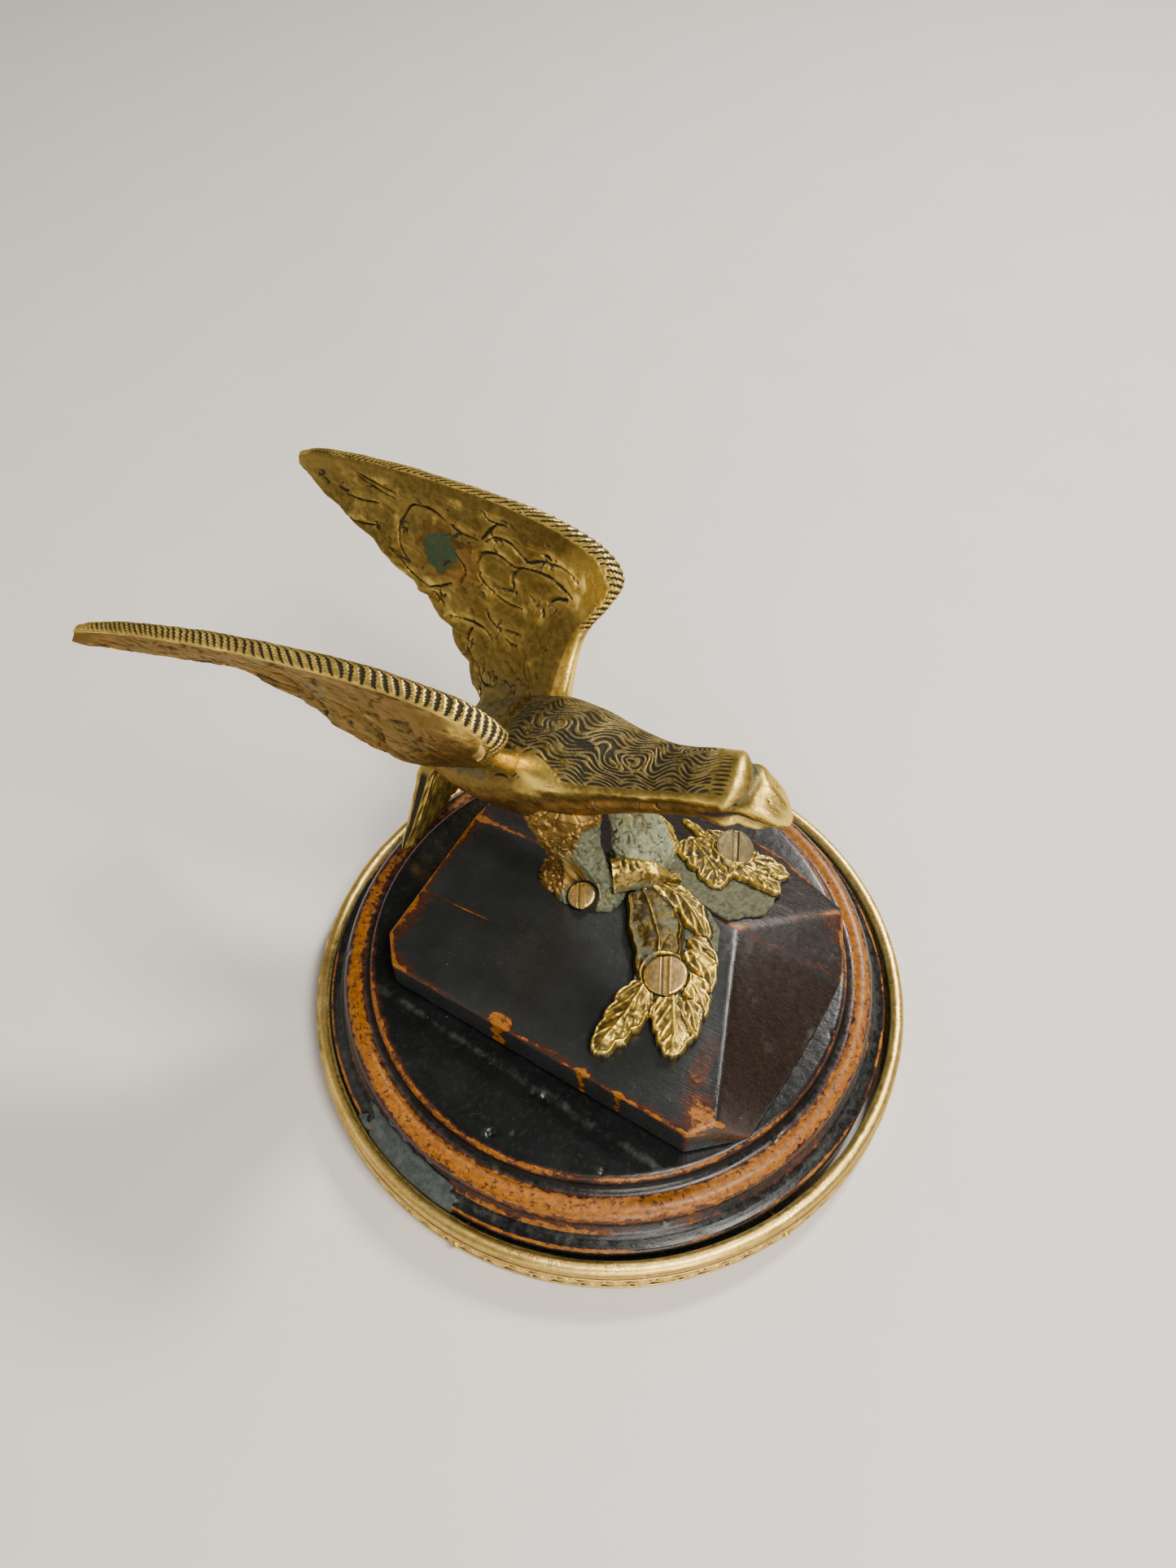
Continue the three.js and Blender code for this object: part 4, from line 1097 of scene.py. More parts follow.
def wing(name, side, node, reach):
    lead, trail, thick, roll = wing_edges(side, reach)
    run, back = length_along(lead), length_along(trail)
    chord = trail - lead
    long = np.linalg.norm(chord, axis=1)
    chord /= long[:, None]
    # the trailing edge is scalloped by the ends of the feathers
    feather = np.where(back < 34, 8.0, 12.0)
    scallop = 1 - np.abs(np.sin(np.pi * back / feather))
    scallop = (1.5 - 0.7 * fade(back, 25, 50)) * scallop * fade(back, 4, 10)
    long = long - scallop * fade(long, 5, 12)
    out = unit(np.cross(chord, np.gradient((lead + trail) / 2, axis=0)))
    out *= np.sign(out[:, 1] * side)[:, None]

    # the outer half of the section, then the inner one back to its start
    halves = half_section(True, thick, roll, long), half_section(False, thick, roll, long)
    d, h, strip = (np.concatenate([a, b[:, :0:-1]], 1) for a, b in zip(*halves))
    grid = lead[:, None] + chord[:, None] * d[..., None] + out[:, None] * h[..., None]
    x, z = grid[..., 0], grid[..., 2]
    if side < 0:
        x = WRIST_X + (x - WRIST_X) / np.where(x < WRIST_X, reach, 1)
    outer = np.zeros(x.shape)
    outer[:, :halves[0][0].shape[1]] = 1
    inner = 1 - outer
    run = np.broadcast_to(run[:, None], x.shape)
    soft = fractal(grid, 5, 80 + side)
    rough = fractal(grid, 1.2, 84 + side)
    round_roll = np.abs(strip) < 5
    slash, on_roll = slashes(run, strip, round_roll)

    face_zone = fade(d, 5.5, 8) * ~round_roll
    inner_cuts, inner_swell = strokes(x, z, SCALE_CUTS)
    outer_cuts, outer_swell = strokes(x, z, OUTER_CUTS)
    cuts = (inner_cuts * inner + outer_cuts * outer) * face_zone
    swell = (inner_swell * inner + outer_swell * outer) * face_zone
    # thin broken wrinkles along the zero lines of a noise
    wrinkle = 1 - fade(np.abs(fractal(grid, 3.8, 95 + side)), 0.02, 0.09)
    rise = z - 0.30 * (x + 40)
    broken = fractal(grid, 2.6, 96) + 0.45 * (1 - fade(rise, 56, 68)) + 0.2 * outer
    wrinkle = wrinkle * fade(broken, 0.05, 0.35) * face_zone
    lumps = fractal(grid, 2.4, 97 + side)
    u, v = x / 9 + 0.45 * noise(grid, 5, 90), z / 7 + 0.45 * noise(grid, 5, 91)
    line, number = cells(u, v, 92 + side)
    faint = 0.35 * inner * fade(x, -66, -60) + 0.4 * outer
    faint = (1 - fade(line, 0.01, 0.06)) * face_zone * faint
    barbs = np.sin((z * 1.15 + 0.10 * x + soft * 1.1) * 2.0) * face_zone * (1 - fade(x, -72, -60))
    streaks = fractal(np.stack([x * 0.35, z * 1.6, 0 * x], -1), 2.2, 93)
    lip = bump(strip, 1.95, 0.16) * round_roll
    # a round spot on the wrist, where a highlight is painted
    wrist = bump(np.hypot((x + 21) / 6.0, (z - 81) / 6.5), 0, 1)
    ripple = np.sin(x * 1.25 + z * 0.25 + soft) * bump(np.hypot((x + 26) / 9, (z - 66) / 6), 0, 1)

    relief = -0.32 * slash - 0.55 * cuts - 0.50 * swell - 0.16 * faint - 0.24 * wrinkle
    relief = relief + 0.05 * barbs * inner + 0.16 * soft + 0.06 * rough + 0.20 * lumps * face_zone
    relief = relief + 0.10 * (number - 0.5) * face_zone * inner * fade(x, -68, -60)
    relief = relief + 0.25 * lip * fade(run, 17, 22)
    relief = relief + 0.12 * ripple * inner + 0.06 * streaks * face_zone
    relief = relief * fade(long, 2, 6)[:, None]
    grid = grid + outward(grid) * relief[..., None]

    # the roll shines less round the wrist and where it turns under towards the tip
    bright = (0.62 - 0.42 * bump(run, 28, 16)) * on_roll * (1 - slash)
    bright = bright * (1 - 0.55 * fade(-strip, 0.3, 1.1) * fade(-x, 50, 75))
    # the lip shines, and the wrist carries a round painted highlight
    bright = bright + 0.9 * lip * fade(run, 15, 22) + 0.95 * wrist * (1 - cuts)
    # a painted highlight near the root
    painted_root_highlight = bump(np.hypot((x + 21.0) / 3.0, (z - 64.0) / 4.5), 0, 1)
    bright = bright + 0.85 * painted_root_highlight
    bright = bright + (0.12 * inner + 0.05) * fade(streaks, 0.1, 0.7)
    # painted highlights on the tops of the lumps and on the rims beside the cuts
    bright = bright + 0.22 * fade(lumps, 0.2, 0.7) * face_zone
    painted_rim_highlights = np.clip(swell * (1.3 - swell) * 2.4, 0, 1) * (1 - cuts)
    bright = bright + 0.22 * painted_rim_highlights * inner

    # the left wing has a round patch of verdigris in a brown ring, and both have two small spots
    left = side > 0
    # the outer face is brown with tarnish, and the brown also paints a warm reflection from below
    brown = outer * (np.abs(strip) > 2.05) * (0.70 + 0.5 * soft) * (1 - painted_root_highlight)
    brown = brown + 0.25 * inner * fade(-x, 60, 90)
    ring = np.hypot((x + 53.4) / 7.4, (z - 76.0) / 6.6) - 0.35 * rough
    brown = np.maximum(brown, left * inner * 1.1 * (1 - fade(ring, 0.7, 1.2)))
    patch = np.hypot((x + 55.6) / 4.4, (z - 75.0) / 4.9) - 0.28 * rough - 0.12 * soft
    verdigris = left * inner * 1.2 * (1 - fade(patch, 0.72, 0.98))
    verdigris = verdigris + 0.5 * inner * bump(np.hypot(x + 26.6, z - 76.2), 0, 1.2)
    verdigris = verdigris + 0.35 * inner * bump(np.hypot(x + 46.5, z - 69.5), 0, 2.2)
    bloom = 0.45 * inner * (1 - fade(rise, 52, 64)) * (1 - wrist)
    for spot_x, spot_z, size in BLOOM_SPOTS:
        away = np.hypot(x - spot_x, (z - spot_z) * 0.7) - 0.5 * rough
        bloom = bloom + 1.1 * outer * (1 - fade(away, size * 0.6, size))
    dark_cuts = cuts * (0.42 + 0.5 * fade(fractal(grid, 2.2, 99), -0.35, 0.15))
    # the swell round each cut is darkened a little as painted shade, beside the black in the cuts
    groove = np.maximum.reduce([
        slash, dark_cuts, 0.55 * faint, 0.6 * wrinkle, 0.25 * swell,
        0.25 * fade(-streaks, 0.5, 0.9) * face_zone,
    ])
    cast(name, grid, node, "eagle_brass", EAGLE_BRASS,
         bright=bright, brown=brown, bloom=bloom, groove=groove, verdigris=verdigris)


TAIL = [
    # x, z, half width, half thickness
    (-39, 49, 4.6, 3.4), (-42.5, 46, 5.8, 3.0), (-45.4, 41.6, 7.6, 2.5), (-46.2, 36.5, 9.8, 2.1),
    (-47, 30, 12.8, 1.7), (-47.8, 24.4, 15.4, 1.3), (-48.2, 21.6, 15.6, 0.8),
]
FEATHERS = 9


def tail():
    x, z, wide, thick = spline(TAIL, 170, 2).T
    angle = all_round(300)
    squeezed = angle - 0.35 * np.sin(2 * angle)
    sin, cos = np.sin(squeezed), np.cos(squeezed)
    flat_cos = np.sign(cos) * np.abs(cos) ** 0.55
    place = ((z[0] - z) / (z[0] - z[-1]))[:, None]
    along = unit(np.gradient(np.stack([x, 0 * x, z], -1), axis=0))
    back = np.stack([along[:, 2], 0 * x, -along[:, 0]], -1)
    grid = np.zeros((len(x), len(angle), 3))
    grid[..., 0], grid[..., 1], grid[..., 2] = x[:, None], EAGLE_Y, z[:, None]
    grid[..., 1] += wide[:, None] * sin
    grid += back[:, None] * (thick[:, None] * flat_cos)[..., None]
    quill = np.broadcast_to(sin, grid.shape[:2]) * FEATHERS / 2
    nearest = np.abs(quill - np.round(quill))
    grid[..., 2] += 1.3 * (nearest * 2) ** 2 * fade(place, 0.75, 1.0)
    fan = fade(place, 0.15, 0.4)
    barbs = np.sin(nearest * 9 - place * 34)
    edge = bump(nearest, 0.5, 0.06)
    soft = fractal(grid, 4, 100)
    relief = fan * (0.35 * bump(nearest, 0, 0.09) - 0.35 * edge + 0.07 * barbs) + 0.10 * soft
    grid = grid + outward(grid) * relief[..., None]
    bright = 0.35 + fan * (0.5 * bump(nearest, 0, 0.08)) + 0.45 * soft
    groove = fan * np.maximum(0.85 * edge, 0.35 * fade(-barbs, 0.6, 1.0))
    bloom = 0.25 * fade(-soft, 0.2, 0.7)
    cast("tail_fan_casting", grid, "tail_fan", "eagle_brass", EAGLE_BRASS,
         bright=bright, brown=0.35 + 0.5 * soft, bloom=bloom, groove=groove)


RIGHT_LEG = [
    # x, distance from the eagle's middle, z, half length, half width
    (-14, 6.4, 52, 8.5, 5.2), (-14.2, 6.9, 47, 8.0, 5.0), (-13.4, 7.2, 42, 7.0, 4.7),
    (-11.4, 7.2, 37, 6.2, 4.3), (-10.2, 7.2, 33, 6.2, 4.2), (-9.6, 7.6, 30.6, 7.6, 4.8),
    (-9.2, 8.0, 29.0, 9.2, 5.4), (-9.2, 8.2, 26, 9.9, 5.8),
]
LEFT_LEG = [
    (-9.4, 6, 52, 6.5, 4.6), (-7.4, 5.8, 45, 5.6, 4.4), (-4.2, 5.2, 38, 5.2, 5.0),
    (-2.6, 4.6, 33, 5.4, 6.2), (-2.0, 4.4, 29, 6.0, 7.2), (-2.0, 4.4, 24, 6.4, 7.4),
]
FOOT_SCREW = (-7.2, 1.9, 30.4)
FOOT_LEAN = (16, -10)
SEAT_RADIUS = 3.3


def leaning(lean):
    """The turn of a screw that leans by these degrees about X and Y."""
    (cos_x, cos_y), (sin_x, sin_y) = np.cos(np.radians(lean)), np.sin(np.radians(lean))
    turn_x = np.array([[1, 0, 0], [0, cos_x, -sin_x], [0, sin_x, cos_x]])
    turn_y = np.array([[cos_y, 0, sin_y], [0, 1, 0], [-sin_y, 0, cos_y]])
    return turn_y @ turn_x


def sunk_seat(grid):
    """The grid with a flat seat pressed into it under the foot screw's head, and how far each
    point is from the screw's axis and above its head."""
    axis = leaning(FOOT_LEAN)[:, 2]
    away = grid - np.array(FOOT_SCREW)
    rise = away @ axis
    off = np.linalg.norm(away - rise[..., None] * axis, axis=-1)
    press = np.clip(rise + 0.8, 0, 12) * (rise > -6)
    press = press * (1 - fade(off, SEAT_RADIUS, SEAT_RADIUS + 0.5))
    return grid - press[..., None] * axis, off, rise


def leg(name, stations, side, node, material):
    x, out, z, long, wide = spline(stations, 150).T
    angle = all_round(260)
    grid = np.zeros((len(x), len(angle), 3))
    grid[..., 0] = x[:, None] + long[:, None] * np.cos(angle)
    grid[..., 1] = EAGLE_Y + side * out[:, None] + wide[:, None] * np.sin(angle)
    grid[..., 2] = z[:, None]
    x, z = grid[..., 0].copy(), grid[..., 2].copy()
    soft = fractal(grid, 4, 110 + side)
    rough = fractal(grid, 1.0, 112 + side)
    sinew = fractal(grid * [1.0, 1.0, 0.22], 1.7, 114 + side)
    crag = np.abs(fractal(grid, 2.2, 116 + side))
    relief = 0.35 * soft + 0.12 * rough + 0.34 * sinew - 0.55 * (1 - fade(crag, 0.02, 0.22)) + 0.1
    # toes with claws reach forward over the block
    toe = np.abs(((angle + np.pi / 2) * 1.6 / np.pi) % 0.5 - 0.25) * 4
    relief = relief + (1 - fade(z, 28.5, 31.5)) * (0.8 * toe - 0.5)
    bright = 0.30 * fade(sinew, 0.25, 0.7) + 0.25 * fade(crag, 0.35, 0.7)
    bright = bright + 0.2 * fade(rough, 0.3, 0.8)
    groove = np.maximum(0.45 * fade(-sinew, 0.35, 0.8), 0.5 * (1 - fade(crag, 0.02, 0.10)))
    behind = 0 * x
    if side < 0:
        # a lug with a sunk seat for the small screw, and a darker rear half
        off, rise = sunk_seat(grid)[1:]
        here = (rise > -5) & (off < 9)
        lug = bump(off, SEAT_RADIUS + 0.4, 0.28) * here * (0.6 + 0.6 * rough)
        relief = relief * (1 - 0.6 * bump(off, 2.5, 2.0) * here) + 0.45 * lug
        bright = bright + 0.7 * lug
        behind = fade(-(x - 0.16 * (z - 30)) + 0.8 * soft, 10.4, 12.4)
    grid = grid + outward(grid) * relief[..., None]
    if side < 0:
        grid = sunk_seat(grid)[0]
        groove = np.maximum(groove, 0.85 * (1 - fade(off, 3.2, 3.6)) * here)
    brown = 1.1 * np.maximum(behind, fade(z, 48, 51)) * (1 + 0.2 * soft)
    bloom = 0.85 * (1 - np.clip(brown, 0, 1)) * (0.85 + 0.4 * soft)
    cast(name, grid, node, "leg_brass", material,
         bright=bright, brown=brown, bloom=bloom, groove=groove)


# ---------------------------------------------------------------- the branch

STEM = [
    # x, y, z, radius
    (-3.6, 8.2, 31.2, 3.7), (-1.2, 9.8, 31.3, 3.6), (0.8, 11.3, 30.9, 3.2),
    (3.0, 12.9, 29.9, 2.7), (5.4, 14.4, 28.5, 2.1), (7.6, 15.8, 27.4, 1.6),
]


def stem():
    rows = spline(STEM, 120)
    path, radius = rows[:, :3], rows[:, 3]
    along = unit(np.gradient(path, axis=0))
    side = unit(np.cross(along, [0, 0, 1]))
    up = np.cross(side, along)
    angle = all_round(160)
    cos, sin = np.cos(angle)[None, :, None], np.sin(angle)[None, :, None]
    faceted = radius[:, None] * (1.04 - 0.17 * np.abs(np.sin(2.5 * angle + 0.4)))
    grid = path[:, None] + (side[:, None] * cos + up[:, None] * sin) * faceted[..., None]
    run = np.linspace(0, 1, len(rows))[:, None] + 0 * angle
    # the sawn end: rings shrink onto a flat face
    face = np.linspace(0.04, 0.96, 16)[:, None, None]
    end = path[0] + (grid[0] - path[0]) * face - along[0] * 0.12 * (1 - face)
    grid = np.concatenate([end, grid])
    run = np.concatenate([np.zeros((len(end), len(angle))) - 0.02, run])
    bark_zone = run >= 0
    v = np.broadcast_to(angle, run.shape)
    bark = fractal(grid, 1.5, 120)
    knots = fractal(grid, 3.0, 121)
    nicks = np.zeros(run.shape)
    for place, turn in ((0.16, 1.9), (0.24, 1.6), (0.32, 1.75)):
        nicks = np.maximum(nicks, bump(run, place, 0.014) * bump(v, turn, 0.35))
    relief = (0.30 * bark + 0.45 * knots - 0.45 * nicks) * bark_zone + 0.02 * bark
    grid = grid + outward(grid) * relief[..., None]
    # the stem's upper side is painted lighter as a highlight
    bright = 0.45 * fade(v, 0.6, 1.4) * bark_zone + 0.75 * bump(run, 0.01, 0.02)
    bright = bright + 0.25 * ~bark_zone
    brown = 0.25 * fade(bark, 0, 0.6) * bark_zone
    bloom = (0.6 * fade(-v, -0.9, 0.4) + 0.4 * fade(knots, -0.2, 0.5)) * bark_zone
    groove = np.maximum(nicks, 0.5 * fade(-bark, 0.45, 0.8) * bark_zone)
    cast("branch_stem_casting", grid, "branch_stem", "branch_brass", BRANCH_BRASS,
         bright=bright, brown=brown, bloom=bloom, groove=groove)


def leaf(x, y, base, tip, bend, wide, lobes, level,
         veins=1.0, notch=0.26, blunt=0.6, full=0.5, gold=0.5):
    """One lobed leaf: how far a point is inside its outline, its height over the ground, its
    raised and sunk parts and its tone. It bows sideways by bend between base and tip."""
    base, tip = np.array(base, float), np.array(tip, float)
    long = np.linalg.norm(tip - base)
    t = (tip - base) / long
    wander = 0.5 * noise(flat(x, y), 3.2, 132)
    s = ((x - base[0]) * t[0] + (y - base[1]) * t[1]) / long
    w = (x - base[0]) * -t[1] + (y - base[1]) * t[0] - bend * 4 * s * (1 - s) + wander * s
    inside_s = np.clip(s, 0, 1)
    half = wide * np.sin(np.pi * np.clip(inside_s, 0.001, 0.999) ** blunt) ** full
    sweep = inside_s - 0.12 * np.abs(w) / wide
    lobe = np.abs(np.sin(np.pi * lobes * sweep + 0.4 * np.sign(w)))
    half = half * (1 - notch * (1 - lobe**0.6))
    d = half - np.abs(w) - np.maximum(0, -s) * long - np.maximum(0, s - 1) * long
    d = d + 0.25 * noise(flat(x, y), 1.4, 130) + 0.05 * noise(flat(x, y), 0.6, 131)
    margin = bump(d, 0.42, 0.30)
    midrib = bump(w, 0, 0.26) * (1 - fade(s, 0.7, 0.95))
    fan = (lobes * (inside_s - 0.55 * np.abs(w) / wide) + 0.3 * wander) % 1
    vein = bump(fan - 0.5, 0, 0.15) * fade(np.abs(w), 0.2, 0.8) * veins
    lines = np.clip(np.maximum.reduce([margin, 0.75 * midrib, 0.8 * vein]), 0, 1)
    pebbled = fractal(flat(x, y), 1.1, 133)
    height = level + 0.55 * fade(d, 0, wide * 0.8) + 0.38 * lines + 0.20 * pebbled
    height = height - 1.0 * (1 - fade(d, -0.1, 0.5))
    hollow = (1 - fade(lines, 0.1, 0.6)) * fade(d, 0.3, 0.8)
    return d, height, lines, hollow * fade(pebbled, -0.6, 0.3), gold


def spray(name, node, box, leaves, corners, screw):
    """A cast spray of leaves on a plate with these corners, round its screw's head."""
    ground = polygon(corners)

    def survey(x, y):
        inside = ground(x, y)
        height = rock_top(x, y) + 1.0 + 0.26 * fractal(flat(x, y), 1.6, 140)
        height = height + 0.10 * fractal(flat(x, y), 0.5, 143)
        bright = 0 * x
        groove = 0.42 * fade(-fractal(flat(x, y), 1.2, 141), 0.1, 0.6)
        bloom = 0 * x + 0.95
        brown = 0 * x
        rubbed = fractal(flat(x, y), 2.0, 142)
        for shape, special in leaves:
            d, rise, lines, hollow, gold = leaf(x, y, *shape, **special)
            over = rock_top(x, y) + rise
            cover = (d > 0) & (over > height)
            inside = np.maximum(inside, d)
            tone = gold + (1.05 - abs(gold)) * lines - 0.45 * hollow + 0.35 * rubbed
            bright = np.where(cover, tone, bright)
            groove = np.where(cover, 0.42 * hollow * (0.8 + rubbed), groove)
            brown = np.where(cover, 0.50 * hollow + max(-2.2 * gold, 0), brown)
            bloom = np.where(cover, (0.40 - 0.3 * gold) * hollow * (1 - rubbed), bloom)
            # a dark line of painted shade where a leaf's edge stands over what is below it
            foot = ~cover & (d > -0.4) & (d <= 0.0)
            groove = np.where(foot, np.maximum(groove, 0.65), groove)
            height = np.where(cover, over, height)
        # the screw's head sits in a countersink with a raised collar
        away = np.hypot(x - screw[0], y - screw[1]) - SCREW_HEAD
        seat = 1 - fade(away, 0.1, 0.5)
        height = height * (1 - seat) + np.minimum(height, screw[2] - 1.3) * seat
        collar = bump(away, 0.62, 0.26)
        height = height + 0.35 * collar
        bright = np.maximum(bright, 0.75 * collar)
        inside = np.maximum(inside, 1.0 - away)
        return inside, height, {"bright": bright, "groove": groove, "bloom": bloom, "brown": brown}

    points, faces, half = plate(
        box, 0.17,
        lambda x, y: survey(x, y)[0],
        lambda x, y: survey(x, y)[1],
        lambda x, y: rock_top(x, y) - 0.5,
    )
    masks = survey(points[:, 0], points[:, 1])[2]
    masks["bright"][half:] = 0
    make_piece(name, points, faces, [node], BRANCH_BRASS, masks)


def polygon(corners):
    """A function that says how far inside a simple outline a point is, in millimetres. The
    outline wavers a little."""
    corners = np.array(corners, float)

    def inside(x, y):
        nearest = np.full(x.shape, 99.0)
        crossings = np.zeros(x.shape, int)
        for a, b in zip(corners, np.roll(corners, -1, 0)):
            nearest = np.minimum(nearest, to_line(x, y, a, b)[0])
            along = b - a
            spans = (a[1] > y) != (b[1] > y)
            cross_x = a[0] + (y - a[1]) * along[0] / (along[1] if along[1] else 1e-9)
            crossings += spans & (x < cross_x)
        wavering = 0.2 * noise(flat(x, y), 1.3, 150)
        return np.where(crossings % 2 == 1, nearest, -nearest) + wavering

    return inside


FRONT_LEAVES = [
    # base, tip, bend, half width, lobes, height; then what is special to the leaf
    (((3.0, 8.6), (14.4, -9.6), 1.9, 5.3, 2, 2.3),
     {"veins": 0.15, "notch": 0.10, "blunt": 0.75, "full": 0.34, "gold": -0.35}),
    (((4.6, 12.0), (19.4, 3.2), 2.3, 3.0, 3, 1.9),
     {"veins": 0.8, "notch": 0.2, "full": 0.4, "gold": 0.25}),
    (((16.0, 3.0), (23.2, -0.2), 0.8, 2.1, 2, 2.0), {"gold": 0.4}),
    (((16.8, 0.6), (24.6, -5.0), 0.9, 2.6, 2, 1.8), {"gold": 0.5}),
    (((18.6, -4.6), (25.6, -11.2), 0.8, 2.6, 2, 2.0), {"gold": 0.5}),
    (((12.6, -10.0), (10.8, -26.4), 0.6, 3.9, 4, 2.0),
     {"veins": 0.55, "notch": 0.2, "full": 0.36, "gold": 0.65}),
    (((18.6, -9.8), (23.6, -20.4), 0.1, 4.4, 4, 1.9),
     {"veins": 0.7, "notch": 0.18, "full": 0.36, "gold": 0.7}),
    (((21.0, -9.6), (26.0, -15.4), 0.5, 2.0, 2, 2.2), {"gold": 0.4}),
]
REAR_LEAVES = [
    (((-4.8, 32.4), (3.8, 23.0), 0.5, 2.0, 2, 1.5), {"veins": 0.3, "full": 0.35, "gold": 0.5}),
    (((0.4, 34.2), (10.6, 29.6), 0.5, 1.5, 2, 1.9), {"veins": 0.3, "gold": 0.3}),
    (((4.6, 29.0), (16.0, 18.8), 0.6, 4.9, 4, 2.0), {"notch": 0.2, "full": 0.4, "gold": 0.2}),
    (((9.6, 28.0), (16.8, 22.4), 0.8, 2.4, 3, 2.4), {"gold": 0.2}),
    (((11.6, 33.4), (6.0, 34.2), 0.0, 2.4, 1, 1.5), {"veins": 0.0, "notch": 0.0, "gold": 0.1}),
    (((15.0, 28.8), (26.6, 30.2), 0.9, 3.6, 3, 1.8), {"notch": 0.2, "full": 0.4, "gold": 0.2}),
    (((14.2, 26.6), (27.0, 24.0), 0.5, 3.1, 3, 2.2), {"notch": 0.24, "full": 0.4, "gold": 0.2}),
]
FRONT_GROUND = [
    (3.0, 10.6), (5.0, 6.0), (8.0, 0.0), (10.4, -10.0), (14.8, -14.0), (17.4, -15.6),
    (24.6, -17.6), (25.9, -13.0), (25.0, -6.0), (22.6, 1.0), (20.0, 8.4), (14.6, 12.6),
    (8.0, 13.6),
]
REAR_GROUND = [
    (-6.4, 14.6), (-9.6, 26.4), (-6.6, 29.4), (-3.0, 31.0), (2.0, 30.0), (6.0, 31.6), (17.0, 33.2),
    (25.6, 28.4), (26.6, 21.0), (26.0, 17.2), (20.6, 11.4), (12.4, 12.4), (4.0, 13.6),
]
FRONT_BOX = (1.0, 28.5, -28.5, 15.5)
REAR_BOX = (-11.0, 29.0, 9.5, 37.5)
FRONT_SCREW = (15.4, -6.6, 31.0)
REAR_SCREW = (14.0, 31.0, 24.5)
SCREW_HEAD = 4.15  # radius


# ---------------------------------------------------------------- screws

SLOT_TURN = math.radians(24)


def slotted_screw(node, place, lean, slot, stained, radius, sink, shank, long, depth):
    """A slotted countersunk screw. Its head's face is on top at place, and it leans by lean
    degrees about X and Y. The slot's width and depth, the head's radius and its sink, and the
    shank's radius and length are in millimetres."""
    def inside(x, y):
        return radius - np.hypot(x, y)

    def across(x, y):
        return x * math.cos(SLOT_TURN) + y * math.sin(SLOT_TURN)

    def top(x, y):
        r = np.hypot(x, y)
        crown = 0.22 * (1 - (r / radius) ** 2)
        rounded = -0.18 * fade(r, radius - 0.35, radius)
        cut = 1 - fade(np.abs(across(x, y)), slot / 2 - 0.05, slot / 2 + 0.07)
        burr = 0.06 * bump(np.abs(across(x, y)), slot / 2 + 0.16, 0.09)
        return crown + rounded - depth * cut + burr + 0.015 * fractal(flat(x, y), 0.8, 160)

    def bottom(x, y):
        r = np.hypot(x, y)
        cone = -0.45 - sink * (1 - fade(r, shank, radius))
        return np.where(r < shank, -long, cone)

    edge_of_box = radius + 0.2
    box = (-edge_of_box, edge_of_box, -edge_of_box, edge_of_box)
    points, faces = plate(box, 0.1, inside, top, bottom)[:2]
    x, y = points[:, 0], points[:, 1]
    r, off = np.hypot(x, y), across(x, y)
    in_slot = 1 - fade(np.abs(off), slot / 2 - 0.12, slot / 2 + 0.02)
    edge = bump(r, radius - 0.12, 0.16) + 0.8 * bump(np.abs(off), slot / 2 + 0.12, 0.1)
    # one wall of the slot is painted lit and the other half painted in shade
    lit_wall = in_slot * fade(off, -slot / 2, slot / 2)
    masks = {
        "bright": (1 - 0.6 * stained) * (0.9 * edge + 0.75 * lit_wall),
        "groove": 0.75 * in_slot * fade(-off, 0, slot / 2) + 0.9 * bump(r, radius + 0.05, 0.06),
        "brown": stained + 0 * x,
        "bloom": 0.55 * stained * (stained > 0.5) + 0 * x,
    }
    points = points @ leaning(lean).T + place
    make_piece(node + "_turned", points, faces, [node], SCREW_BRASS, masks)


def screws():
    large = {"radius": SCREW_HEAD, "sink": 2.3, "shank": 1.9, "long": 9.0, "depth": 0.75}
    small = {"radius": 2.8, "sink": 1.5, "shank": 1.1, "long": 7.0, "depth": 0.6}
    for name, place, lean, slot, size, stained in (
        ("front_screw", FRONT_SCREW, (4, -9), 1.5, large, 0.15),
        ("rear_screw", REAR_SCREW, (3, 17), 1.3, large, 0.9),
        ("foot_screw", FOOT_SCREW, FOOT_LEAN, 1.3, small, 0.15),
    ):
        slotted_screw(name, place, lean, slot, stained, **size)


def carried_over():
    """CAD nodes that stay as they are, with a finish of their own."""
    metal = steel()
    for name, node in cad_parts.items():
        if name.startswith("rim_pin"):
            finish = RIM_BRASS
        elif name.startswith("rock_screw"):
            finish = metal
        else:
            continue
        node.data.materials.clear()
        node.data.materials.append(finish)


# ---------------------------------------------------------------- stage

FLOOR_REACH = 2.5  # metres, as all below
AIM = (0, 0, 0.03)
LAMPS = [
    # name, place, size, watts, colour
    ("key", (0.32, -0.10, 0.66), 0.24, 7.0, (1.0, 0.95, 0.87)),
    ("window", (0.12, 0.64, 0.71), 0.14, 11.0, (1.0, 0.96, 0.90)),
    ("side", (0.56, -0.66, 0.24), 0.34, 6.0, (1.0, 0.94, 0.86)),
    ("fill", (-0.60, -0.35, 0.50), 0.6, 1.2, (1.0, 0.90, 0.78)),
]
EYE = (0.05395, -0.10928, 0.2278)
EYE_TILT = 38.1  # degrees up from straight down
EYE_TURN = 28.2
LENS = 27.03
SENSOR = 36.0


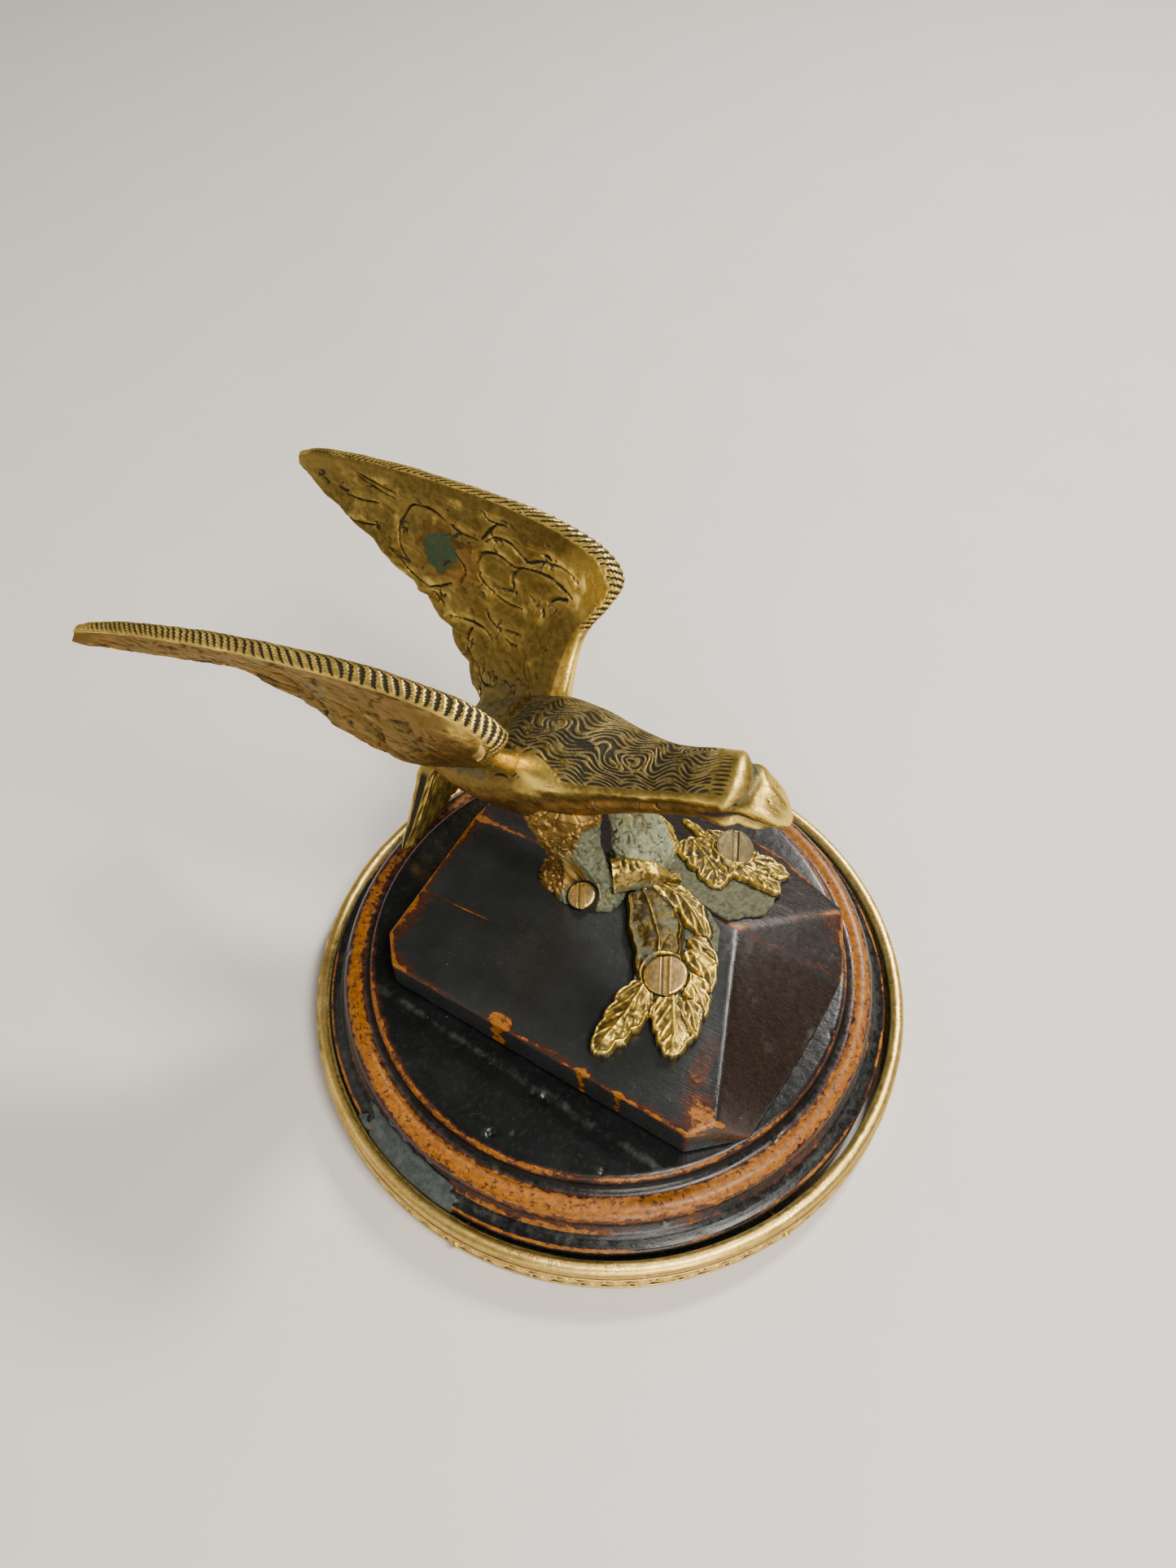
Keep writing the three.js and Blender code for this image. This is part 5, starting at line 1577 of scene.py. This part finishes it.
def floor():
    mesh = bpy.data.meshes.new("floor")
    far = FLOOR_REACH
    corners = [(-far, -far, 0), (far, -far, 0), (far, far, 0), (-far, far, 0)]
    mesh.from_pydata(corners, [], [(0, 1, 2, 3)])
    plane = bpy.data.objects.new("floor", mesh)
    bpy.context.scene.collection.objects.link(plane)
    g = Graph("pale_floor")
    tint = g.blend(g.noise(0.03, 3.0), (0.60, 0.575, 0.54), (0.64, 0.615, 0.58))
    mesh.materials.append(g.finish(tint, g.plus(g.times(g.noise(0.05), 0.05), 0.6)))


def lights():
    world = bpy.data.worlds.new("studio")
    world.use_nodes = True
    bpy.context.scene.world = world
    back = world.node_tree.nodes["Background"]
    back.inputs["Color"].default_value = (1.0, 0.97, 0.93, 1.0)
    back.inputs["Strength"].default_value = 0.18
    for name, place, size, watts, colour in LAMPS:
        lamp = bpy.data.lights.new(name, "AREA")
        lamp.size = size
        lamp.energy = watts
        lamp.color = colour
        holder = bpy.data.objects.new(name, lamp)
        holder.location = place
        aim = Vector(AIM) - Vector(place)
        holder.rotation_euler = aim.to_track_quat("-Z", "Y").to_euler()
        bpy.context.scene.collection.objects.link(holder)


def camera():
    lens = bpy.data.cameras.new("camera")
    lens.sensor_width = SENSOR
    lens.lens = LENS
    lens.clip_start = 0.01
    eye = bpy.data.objects.new("camera", lens)
    eye.location = EYE
    eye.rotation_euler = (math.radians(EYE_TILT), 0.0, math.radians(EYE_TURN))
    bpy.context.scene.collection.objects.link(eye)
    bpy.context.scene.camera = eye


plinth()
pad()
rim_bead()
rim_band()
rock()
body()
wing("left_wing_casting", 1, "left_wing", 1.0)
wing("right_wing_casting", -1, "right_wing", 1.055)
tail()
leg("right_leg_casting", RIGHT_LEG, -1, "right_leg", LEG_BRASS)
leg("left_leg_casting", LEFT_LEG, 1, "left_leg", FAR_LEG_PAINTED_LIGHT_BRASS)
stem()
spray("front_spray_casting", "front_spray", FRONT_BOX, FRONT_LEAVES, FRONT_GROUND, FRONT_SCREW)
spray("rear_spray_casting", "rear_spray", REAR_BOX, REAR_LEAVES, REAR_GROUND, REAR_SCREW)
screws()
carried_over()
floor()
lights()
camera()
